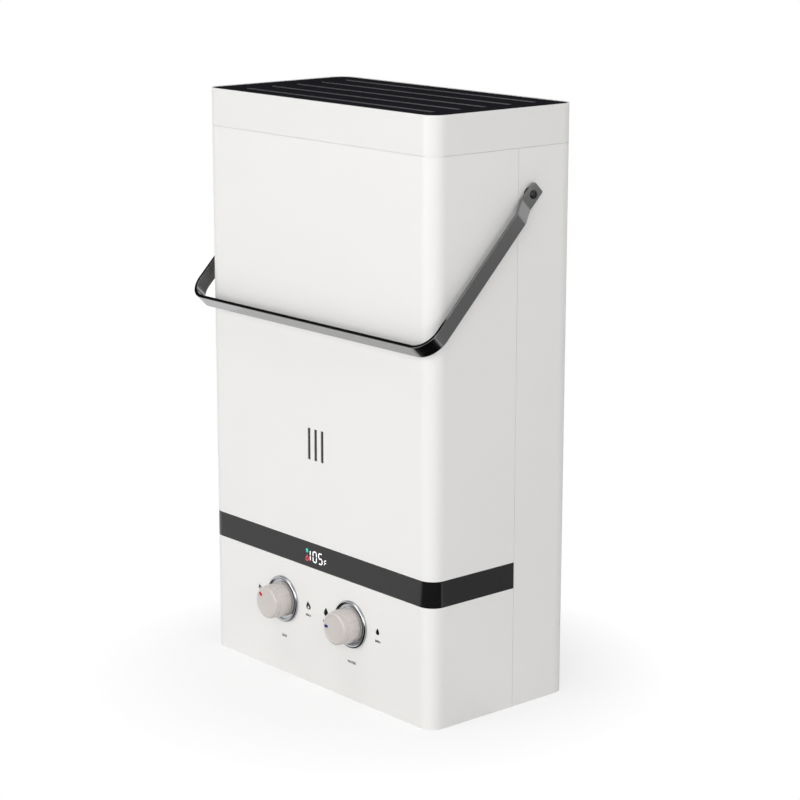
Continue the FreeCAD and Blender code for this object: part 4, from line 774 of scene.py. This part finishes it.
        recess = np.maximum(bar(x, y), bar(y, x)) * self.cross_depth * (1 - 0.5 * share)
        height = dome - recess
        skirt = np.stack([x[:1], y[:1], np.zeros_like(x[:1])], -1)
        rings = np.concatenate([skirt, np.stack([x, y, height], -1)])
        side = "right" if hand > 0 else "left"
        Piece(f"handle_screw_{side}", BLACK_OXIDE, "cabinet", "black_paint", ("handle_screws",),
              50.0).from_rings(
            stand.place(rings))

    def build(self) -> None:
        """Build the strip and both screws."""
        self.strip()
        self.screw(1)
        self.screw(-1)


# Signs and display


class Sign(Enum):
    """Shape of a printed sign."""

    DROP = "drop"
    FLAME = "flame"


@dataclass
class PrintedSigns:
    """Words and signs round the knobs, screen printed on the cover. Sizes and places in mm."""

    ink: float = 0.06
    letter_weight: float = 0.038
    heart_size: float = 0.42
    heart_drop: float = 0.2
    words: tuple[tuple[str, float, float, float, float], ...] = (
        ("GAS", -53.6, 40.0, 8.0, 2.6), ("WATER", 55.3, 39.8, 13.2, 2.6),
        ("MAX", -13.3, 72.0, 8.3, 2.5),
        ("MIN", 95.7, 72.3, 7.6, 2.5), ("MIN", -94.4, 72.6, 7.6, 2.5),
        ("MAX", 14.6, 72.4, 8.3, 2.5))
    signs: tuple[tuple[Sign, float, float, float], ...] = (
        (Sign.FLAME, -13.5, 82.3, 8.4), (Sign.FLAME, -94.1, 83.0, 5.6),
        (Sign.DROP, 95.3, 82.4, 6.8), (Sign.DROP, 15.0, 82.6, 9.0))

    def stand(self, x: float, z: float) -> Stand:
        """Place on the front cover.

        Args:
            x: across.
            z: height.

        Returns:
            Stand on the cover's face.
        """
        return Stand((x * MM, float(node_box("front_cover")[0][1]), z * MM))

    def word(self, number: int, text: str, x: float, z: float, width: float, height: float) -> None:
        """Print one word, fitted to its width and height.

        Args:
            number: sets words that are printed twice apart.
            text: capitals.
            x: middle across.
            z: middle height.
            width: width of the word.
            height: height of its capitals.
        """
        curve = bpy.data.curves.new("letters", "FONT")
        curve.body = text
        curve.extrude = 0.5
        curve.offset = self.letter_weight
        curve.resolution_u = 3
        letters = place_object("letters", curve)
        bpy.context.view_layer.update()
        mesh = bpy.data.meshes.new_from_object(
            letters.evaluated_get(bpy.context.evaluated_depsgraph_get()))
        points = np.empty(len(mesh.vertices) * 3)
        mesh.vertices.foreach_get("co", points)
        points = points.reshape(-1, 3)
        low = points.min(axis=0)
        size = points.max(axis=0) - low
        points = (points - low - size / 2) * (width / size[0], height / size[1], self.ink / size[2])
        points[:, 2] += self.ink / 2 - SUNK
        mesh.vertices.foreach_set("co", self.stand(x, z).place(points).ravel())
        bpy.data.objects.remove(letters)
        bpy.data.curves.remove(curve)
        Piece(f"print_{text.lower()}_{number}", PRINT_INK, "cabinet",
              "black_plastic").finished(mesh)

    @staticmethod
    def drop(height: float, count: int = 48) -> np.ndarray:
        """Outline of a drop: across is sin t times a power of sin t/2, up is cos t, tip at the top.

        Args:
            height: height of the drop.
            count: points round it.

        Returns:
            Across and up, one row each.
        """
        turn = np.linspace(0, 2 * math.pi, count, endpoint=False)
        across = 0.5 * height * np.sin(turn) * np.abs(np.sin(turn / 2)) ** 1.2
        return np.column_stack([across, height / 2 * np.cos(turn)])

    def flame_outline(self, height: float) -> np.ndarray:
        """Outline of a flame: a drop whose tip leans over and whose sides wave.

        Args:
            height: height of the flame.

        Returns:
            Across and up, one row each.
        """
        outline = self.drop(height) * (1.12, 1.0)
        share = outline[:, 1] / height + 0.5
        outline[:, 0] += 0.09 * height * np.sin(share * math.pi * 1.5 + 0.4) * share
        return outline

    def sign(self, number: int, sign: Sign, x: float, z: float, height: float) -> None:
        """Print one sign, a flame with an open heart or a full drop.

        Args:
            number: sets signs apart.
            sign: shape.
            x: middle across.
            z: middle height.
            height: height.
        """
        stand = self.stand(x, z)
        piece = Piece(f"print_{sign.value}_{number}", PRINT_INK, "cabinet", "black_plastic")
        if sign is Sign.DROP:
            piece.from_rings(slab_rings(stand, self.drop(height), -SUNK, self.ink))
            return
        heart = self.drop(height * self.heart_size) - (0.0, height * self.heart_drop)
        piece.from_rings(hollow_rings(stand, self.flame_outline(height), heart, self.ink),
                         wrap=True)

    def build(self) -> None:
        """Print every word and sign."""
        for number, row in enumerate(self.words, 1):
            self.word(number, *row)
        for number, row in enumerate(self.signs, 1):
            self.sign(number, *row)


@dataclass
class Display:
    """Lit number and two signs that shine through the band. Sizes and places in mm."""

    number: str = "105"
    middle_z: float = 136.2
    digit_height: float = 12.0
    digit_width: float = 6.6
    digit_x: tuple[float, ...] = (-10.4, -2.6, 6.4)
    stroke: float = 1.25
    gap: float = 0.25
    unit_x: float = 14.4
    unit_z: float = 133.6
    unit_height: float = 6.2
    unit_width: float = 4.2
    unit_stroke: float = 0.95
    sign_x: float = -14.9
    cold_z: float = 140.7
    flake_across: float = 2.1
    flake_up: float = 2.6
    flake_stroke: float = 0.9
    hot_z: float = 132.9
    hot_height: float = 6.6
    heart_size: float = 0.55
    heart_drop: float = 0.4
    glass: float = 0.05

    def stand(self) -> Stand:
        """Place on the band's front face.

        Returns:
            Stand on the band.
        """
        return Stand((0.0, float(node_box("control_band")[0][1]), 0.0))

    @staticmethod
    def bar(x0: float, z0: float, x1: float, z1: float, stroke: float, gap: float) -> np.ndarray:
        """Six cornered stick between two points, as in a segment display.

        Args:
            x0: across at the start.
            z0: height at the start.
            x1: across at the end.
            z1: height at the end.
            stroke: thickness.
            gap: length left free at each end.

        Returns:
            Six corners.
        """
        start = np.array([x0, z0])
        end = np.array([x1, z1])
        ahead = (end - start) / np.linalg.norm(end - start)
        beside = np.array([-ahead[1], ahead[0]]) * stroke / 2
        start = start + ahead * gap
        end = end - ahead * gap
        slope = ahead * stroke / 2
        return np.array([start, start + slope + beside, end - slope + beside, end,
                         end - slope - beside, start + slope - beside])

    def segments(self, lit: str, x: float, z: float, width: float, height: float,
                 stroke: float) -> list[np.ndarray]:
        """Lit bars of one character.

        Args:
            lit: letters a to g of the lit bars, clockwise from the top, g across the middle.
            x: middle across.
            z: middle height.
            width: width of the character.
            height: height of the character.
            stroke: thickness of a bar.

        Returns:
            Outlines of the bars.
        """
        right = x + (width - stroke) / 2
        left = x - (width - stroke) / 2
        top = z + (height - stroke) / 2
        low = z - (height - stroke) / 2
        ends = {"a": (left, top, right, top), "b": (right, top, right, z),
                "c": (right, z, right, low),
                "d": (left, low, right, low), "e": (left, z, left, low), "f": (left, top, left, z),
                "g": (left, z, right, z)}
        return [self.bar(*ends[letter], stroke, self.gap) for letter in lit]

    def prisms(self, name: str, finish: Finish, outlines: list[np.ndarray]) -> None:
        """Raise flat outlines a hair above the band as one piece.

        Args:
            name: name of the piece.
            finish: its finish.
            outlines: across and up, one array each.
        """
        points: list[np.ndarray] = []
        faces: list[list[int]] = []
        for outline in outlines:
            start = sum(len(part) for part in points)
            rings = slab_rings(self.stand(), outline, -SUNK, self.glass)
            count = len(outline)
            faces += (grid_quads(2, count, False) + start).tolist()
            faces += [list(range(start, start + count)),
                      list(range(start + count, start + 2 * count))]
            points.append(rings.reshape(-1, 3))
        Piece(name, finish, "cabinet", "display_plastic").from_faces(np.concatenate(points), faces)

    def build(self) -> None:
        """Light the number, its unit and both signs."""
        lit = {"1": "ef", "0": "abcdef", "5": "acdfg"}
        bars = []
        for character, x in zip(self.number, self.digit_x):
            middle = x + self.digit_width / 2 if character == "1" else x
            bars += self.segments(lit[character], middle, self.middle_z, self.digit_width,
                                  self.digit_height, self.stroke)
        bars += self.segments("aefg", self.unit_x, self.unit_z, self.unit_width, self.unit_height,
                              self.unit_stroke)
        self.prisms("display_number", DIGIT_LIGHT, bars)
        flake = []
        for turn in (math.pi / 2, math.pi / 6, -math.pi / 6):
            x = self.flake_across * math.cos(turn)
            z = self.flake_up * math.sin(turn)
            flake.append(self.bar(self.sign_x - x, self.cold_z - z, self.sign_x + x,
                                  self.cold_z + z, self.flake_stroke, 0.0))
        self.prisms("display_cold_sign", CYAN_LIGHT, flake)
        outer = PrintedSigns.drop(self.hot_height)
        heart = outer * self.heart_size - (0.0, self.heart_drop)
        middle = (self.sign_x, self.hot_z)
        rings = hollow_rings(self.stand(), outer + middle, heart + middle, self.glass)
        sign = Piece("display_hot_sign", RED_LIGHT, "cabinet", "display_plastic")
        sign.from_rings(rings, wrap=True)


# Hose fittings


@dataclass
class ThreadedFitting:
    """A turned fitting with a real thread on its spigot, below the base plate. Sizes in mm.

    The thread is a grid of height and angle: the radius falls from the crest by the depth times a
    triangle wave of (height / pitch - angle / full turn), faded out at both ends.
    """

    node: str
    crest_radius: float
    neck_radius: float
    bore_radius: float
    bore_depth: float
    pitch: float
    thread_length: float
    nose: float = 0.0
    face_step: float = 1.6
    chamfer: float = 1.2
    hexagon_chamfer: float = 0.9
    base_sheet: float = 1.2
    middle_hole: float = 0.4
    depth_share: float = 0.55
    columns: int = 72

    def build(self) -> None:
        """Turn the fitting: bore, mouth, thread, neck and hexagon."""
        low, high = node_box(self.node)
        base_top = node_box("base_plate")[0][2] + self.base_sheet * MM
        middle = (low + high) / 2
        stand = Stand((float(middle[0]), float(middle[1]), float(low[2])), (1, 0, 0), (0, 1, 0),
                      (0, 0, 1))
        across_flats = float(high[1] - low[1]) / MM
        collar = float(base_top - low[2]) / MM
        top = float(high[2] - low[2]) / MM
        angle = np.linspace(0, 2 * math.pi, self.columns, endpoint=False)
        bore = rounded_path([(self.middle_hole, self.bore_depth, 0),
                             (self.bore_radius, self.bore_depth, 0.5),
                             (self.bore_radius, 0.5, 0), (self.bore_radius + 0.5, 0, 0)], 5)
        mouth = self.crest_radius - (self.nose or self.face_step)
        start = self.nose or self.chamfer
        heights = np.arange(start, self.thread_length - 0.3, self.pitch / 10)[:, None]
        wave = np.abs(np.mod(heights / self.pitch - angle / (2 * math.pi), 1.0) * 2 - 1)
        fade = np.clip((heights - start) / self.pitch, 0, 1) * np.clip(
            (self.thread_length - heights) / self.pitch, 0, 1)
        depth = self.pitch * self.depth_share
        lead = 1 - np.clip((heights - start) / self.chamfer, 0, 1)
        crest = self.crest_radius - self.chamfer * lead * (self.nose == 0)
        threads = crest - depth * wave * fade
        hexagon = across_flats / 2 / np.cos(np.mod(angle, math.pi / 3) - math.pi / 6)

        def ring(radius: np.ndarray | float, height: np.ndarray | float) -> np.ndarray:
            """One or more rings at a radius and height."""
            radius, height = np.broadcast_arrays(np.atleast_2d(radius), np.atleast_2d(height))
            if radius.shape[1] == 1:
                radius = np.repeat(radius, self.columns, axis=1)
                height = np.repeat(height, self.columns, axis=1)
            return np.stack([radius * np.cos(angle), radius * np.sin(angle), height], -1)

        parts = [ring(bore[:, :1], bore[:, 1:]), ring(mouth, 0.0), ring(threads, heights),
                 ring(self.crest_radius - 0.3, self.thread_length),
                 ring(self.neck_radius, self.thread_length + 0.6), ring(self.neck_radius, collar),
                 ring(across_flats / 2, collar), ring(hexagon, collar + self.hexagon_chamfer),
                 ring(hexagon, top - self.hexagon_chamfer), ring(across_flats / 2, top),
                 ring(self.middle_hole, top)]
        Piece(f"{self.node}_threaded", TURNED_BRASS, "cabinet", "brass", (self.node,),
              32.0).from_rings(
            stand.place(np.concatenate(parts)))


@dataclass
class GrilleEdgeHighlights:
    """Painted highlight along the rear edge of every grille slot, where the sheet turns down. Sizes
    in mm.
    """

    count: int = 5
    pitch: float = 32.6
    length: float = 287.6
    slot_width: float = 6.0
    proud: float = 0.25
    depth: float = 1.1
    lift: float = 0.03

    def build(self) -> None:
        """Lay one thin rounded strip of painted highlight along each slot's rear edge: a stadium
        outline raised to a slab.
        """
        low, high = node_box("top_grille")
        middle = float(low[1] + high[1]) / 2
        turn = np.linspace(-math.pi / 2, math.pi / 2, 7)
        half = self.length / 2 - self.proud
        end = np.column_stack([half + self.proud * np.cos(turn), self.proud * np.sin(turn)])
        outline = np.concatenate([end, -end])
        for number in range(self.count):
            step = (number - (self.count - 1) / 2) * self.pitch + self.slot_width / 2
            rear = middle + step * MM
            stand = Stand((0.0, rear, float(high[2])), (1, 0, 0), (0, 1, 0), (0, 0, 1))
            # The strip's mid grey is a painted highlight on the slot's lip.
            Piece(f"grille_edge_highlight_{number + 1}", GRILLE_EDGE_HIGHLIGHT, "cabinet", "black_paint").from_rings(
                slab_rings(stand, outline, -self.depth, self.lift))


@dataclass
class PackedPieces:
    """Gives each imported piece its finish."""

    finishes: dict[str, Finish] = field(default_factory=lambda: NODE_FINISH)

    def dress(self) -> None:
        """Put each finish on its piece."""
        for name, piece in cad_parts.items():
            slots = piece.data.materials
            material = self.finishes[name].material()
            if len(slots):
                for index in range(len(slots)):
                    slots[index] = material
            else:
                slots.append(material)
            LOG.info("dressed %s in %s", name, material.name)


# Studio


CARD_LIFT = 0.0004


@dataclass(frozen=True)
class Card:
    """A plain card round the set that only mirrors see, for the darker parts of gloss and chrome.

    A card on the floor lies CARD_LIFT above it.
    """

    name: str
    colour: str
    corners: tuple[tuple[float, float, float], ...]


@dataclass(frozen=True)
class Lamp:
    """A square soft lamp: where it hangs, its edge length and its power in watts."""

    name: str
    place: tuple[float, float, float]
    size: float
    watts: float


@dataclass
class Studio:
    """Camera, floor, backdrop and lamps."""

    camera_at: tuple[float, float, float] = (1.77325, -1.50787, 0.8397)
    yaw_deg: float = 49.037
    pitch_deg: float = 13.341
    roll_deg: float = 0.057
    lens_mm: float = 105.815
    floor_size: float = 14.0
    floor_colour: str = "#f8f8f8"
    bounce_colour: str = "#dadada"
    floor_lift: float = 0.6
    lift_from: float = 0.16
    lift_to: float = 0.3
    sky: float = 0.35
    aim: tuple[float, float, float] = (0.0, 0.0, 0.3)
    lamps: tuple[Lamp, ...] = (
        Lamp("front_softbox", (-1.2, -4.5, 0.7), 2.6, 90.0),
        Lamp("fill_softbox", (2.6, -2.8, 1.6), 2.0, 42.0),
        Lamp("side_softbox", (4.0, -0.8, 1.5), 2.0, 34.0),
        Lamp("top_softbox", (0.0, -0.6, 3.0), 1.8, 20.0))
    cards: tuple[Card, ...] = (
        Card("near_card", "#0c0c0c",
             ((-0.12, -0.12, CARD_LIFT), (0.1, -1.9, CARD_LIFT), (2.4, -1.9, CARD_LIFT),
                                      (2.4, 0.35, CARD_LIFT), (0.24, 0.03, CARD_LIFT))),
        Card("right_card", "#d8d8d8",
             ((0.3, 0.12, CARD_LIFT), (2.8, 0.5, CARD_LIFT), (2.8, 2.8, CARD_LIFT),
                                       (0.5, 1.6, CARD_LIFT))),
        Card("rear_card", "#0c0c0c", ((-3.27, 0.82, 0.45), (-1.13, 3.18, 0.45), (-1.13, 3.18, 1.9),
                                      (-3.27, 0.82, 1.9))),
        Card("high_card", "#0c0c0c",
             ((-2.133, 0.283, 1.11), (-1.073, 0.489, 2.29), (-0.767, -1.083, 2.29),
                                      (-1.827, -1.289, 1.11))),
        Card("edge_card", "#0c0c0c",
             ((0.291, -0.695, 2.465), (0.429, -1.285, 2.115), (2.199, -0.245, 1.065),
                                      (2.061, 0.345, 1.415))))

    def camera(self) -> None:
        """Aim the camera as the photograph's was."""
        data = bpy.data.cameras.new("camera")
        data.sensor_width = 36.0
        data.lens = self.lens_mm
        camera = place_object("camera", data)
        yaw, pitch, roll = (math.radians(v) for v in (self.yaw_deg, self.pitch_deg, self.roll_deg))
        back = Vector((math.sin(yaw) * math.cos(pitch), -math.cos(yaw) * math.cos(pitch),
                       math.sin(pitch)))
        right = Vector((math.cos(yaw), math.sin(yaw), 0.0))
        up = back.cross(right)
        turn = Matrix((right, up, back)).transposed() @ Matrix.Rotation(roll, 3, "Z")
        camera.matrix_world = Matrix.Translation(self.camera_at) @ turn.to_4x4()
        bpy.context.scene.camera = camera

    @staticmethod
    def background_rays(tree: bpy.types.NodeTree) -> bpy.types.NodeSocket:
        """Find the rays that should see the white background: straight, mirrored or through glass.

        Args:
            tree: node tree that gets the nodes.

        Returns:
            Socket that is one for such rays.
        """
        seen = add(tree, "ShaderNodeLightPath")
        both = add(tree, "ShaderNodeMath", {
            0: seen.outputs["Is Camera Ray"],
            1: seen.outputs["Is Glossy Ray"]}, operation="MAXIMUM")
        every = add(tree, "ShaderNodeMath", {
            0: both.outputs[0], 1: seen.outputs["Is Transmission Ray"]}, operation="MAXIMUM")
        return every.outputs[0]

    def floor(self) -> None:
        """Lay a pale floor that shows white to the camera and still keeps the heater's shadow."""
        half = self.floor_size / 2
        mesh = bpy.data.meshes.new("studio_floor")
        mesh.from_pydata([(-half, -half, 0), (half, -half, 0), (half, half, 0), (-half, half, 0)],
                         [], [(0, 1, 2, 3)])
        floor = place_object("studio_floor", mesh)
        material = bpy.data.materials.new("studio_paper")
        tree = bare_tree(material)
        paper = add(tree, "ShaderNodeBsdfDiffuse", {"Color": linear(self.floor_colour)})
        place = add(tree, "ShaderNodeTexCoord")
        away = add(tree, "ShaderNodeVectorMath", {0: place.outputs["Object"]}, operation="LENGTH")
        lift = add(tree, "ShaderNodeMapRange", {
            "Value": away.outputs["Value"], "From Min": self.lift_from, "From Max": self.lift_to,
            "To Min": self.floor_lift, "To Max": 1.0})
        white = add(tree, "ShaderNodeEmission", {"Color": (1, 1, 1, 1), "Strength": 1.0})
        lifted = add(tree, "ShaderNodeMixShader", {
            0: lift.outputs["Result"], 1: paper.outputs[0], 2: white.outputs[0]})
        bounce = add(tree, "ShaderNodeBsdfDiffuse", {"Color": linear(self.bounce_colour)})
        mixed = add(tree, "ShaderNodeMixShader", {
            0: self.background_rays(tree), 1: bounce.outputs[0], 2: lifted.outputs[0]})
        add(tree, "ShaderNodeOutputMaterial", {"Surface": mixed.outputs[0]})
        mesh.materials.append(material)

    def world(self) -> None:
        """Give a soft even sky that shows as white behind the heater."""
        world = bpy.data.worlds.new("studio")
        bpy.context.scene.world = world
        tree = bare_tree(world)
        soft = add(tree, "ShaderNodeBackground", {"Color": (1, 1, 1, 1), "Strength": self.sky})
        white = add(tree, "ShaderNodeBackground", {"Color": (1, 1, 1, 1), "Strength": 1.0})
        mixed = add(tree, "ShaderNodeMixShader", {
            0: self.background_rays(tree), 1: soft.outputs[0], 2: white.outputs[0]})
        add(tree, "ShaderNodeOutputWorld", {"Surface": mixed.outputs[0]})

    @staticmethod
    def hang(card: Card) -> None:
        """Put up one card, seen in mirrors only.

        Args:
            card: the card.
        """
        mesh = bpy.data.meshes.new(card.name)
        mesh.from_pydata(card.corners, [], [tuple(range(len(card.corners)))])
        sheet = place_object(card.name, mesh)
        sheet.visible_camera = False
        sheet.visible_diffuse = False
        sheet.visible_shadow = False
        material = bpy.data.materials.new(card.name)
        tree = bare_tree(material)
        paint = add(tree, "ShaderNodeBsdfDiffuse", {"Color": linear(card.colour)})
        add(tree, "ShaderNodeOutputMaterial", {"Surface": paint.outputs[0]})
        mesh.materials.append(material)

    def light(self, lamp: Lamp) -> None:
        """Hang one lamp and turn it to the heater.

        Args:
            lamp: the lamp.
        """
        data = bpy.data.lights.new(lamp.name, "AREA")
        data.size = lamp.size
        data.energy = lamp.watts
        hung = place_object(lamp.name, data)
        hung.location = lamp.place
        ahead = Vector(self.aim) - Vector(lamp.place)
        hung.rotation_euler = ahead.to_track_quat("-Z", "Y").to_euler()

    def build(self) -> None:
        """Set up camera, floor, sky and lamps."""
        self.camera()
        self.floor()
        self.world()
        for card in self.cards:
            self.hang(card)
        for lamp in self.lamps:
            self.light(lamp)
        bpy.context.scene.view_settings.view_transform = "Standard"


def main() -> None:
    """Build every class in order and report each piece."""
    logging.basicConfig(level=logging.INFO, format="%(name)s: %(message)s")
    Studio().build()
    PackedPieces().dress()
    for kind in Knob:
        KnobSet(kind).build()
    CarryHandle().build()
    PrintedSigns().build()
    Display().build()
    GrilleEdgeHighlights().build()
    for fitting in (
            ThreadedFitting("water_inlet", 13.49, 11.0, 8.0, 18.0, 2.209, 16.0),
            ThreadedFitting("hot_water_outlet", 13.49, 11.0, 8.0, 18.0, 2.209, 16.0),
            ThreadedFitting("gas_inlet", 7.94, 6.4, 3.2, 12.0, 1.411, 16.0, nose=3.34)):
        fitting.build()


if __name__ == "__main__":
    main()
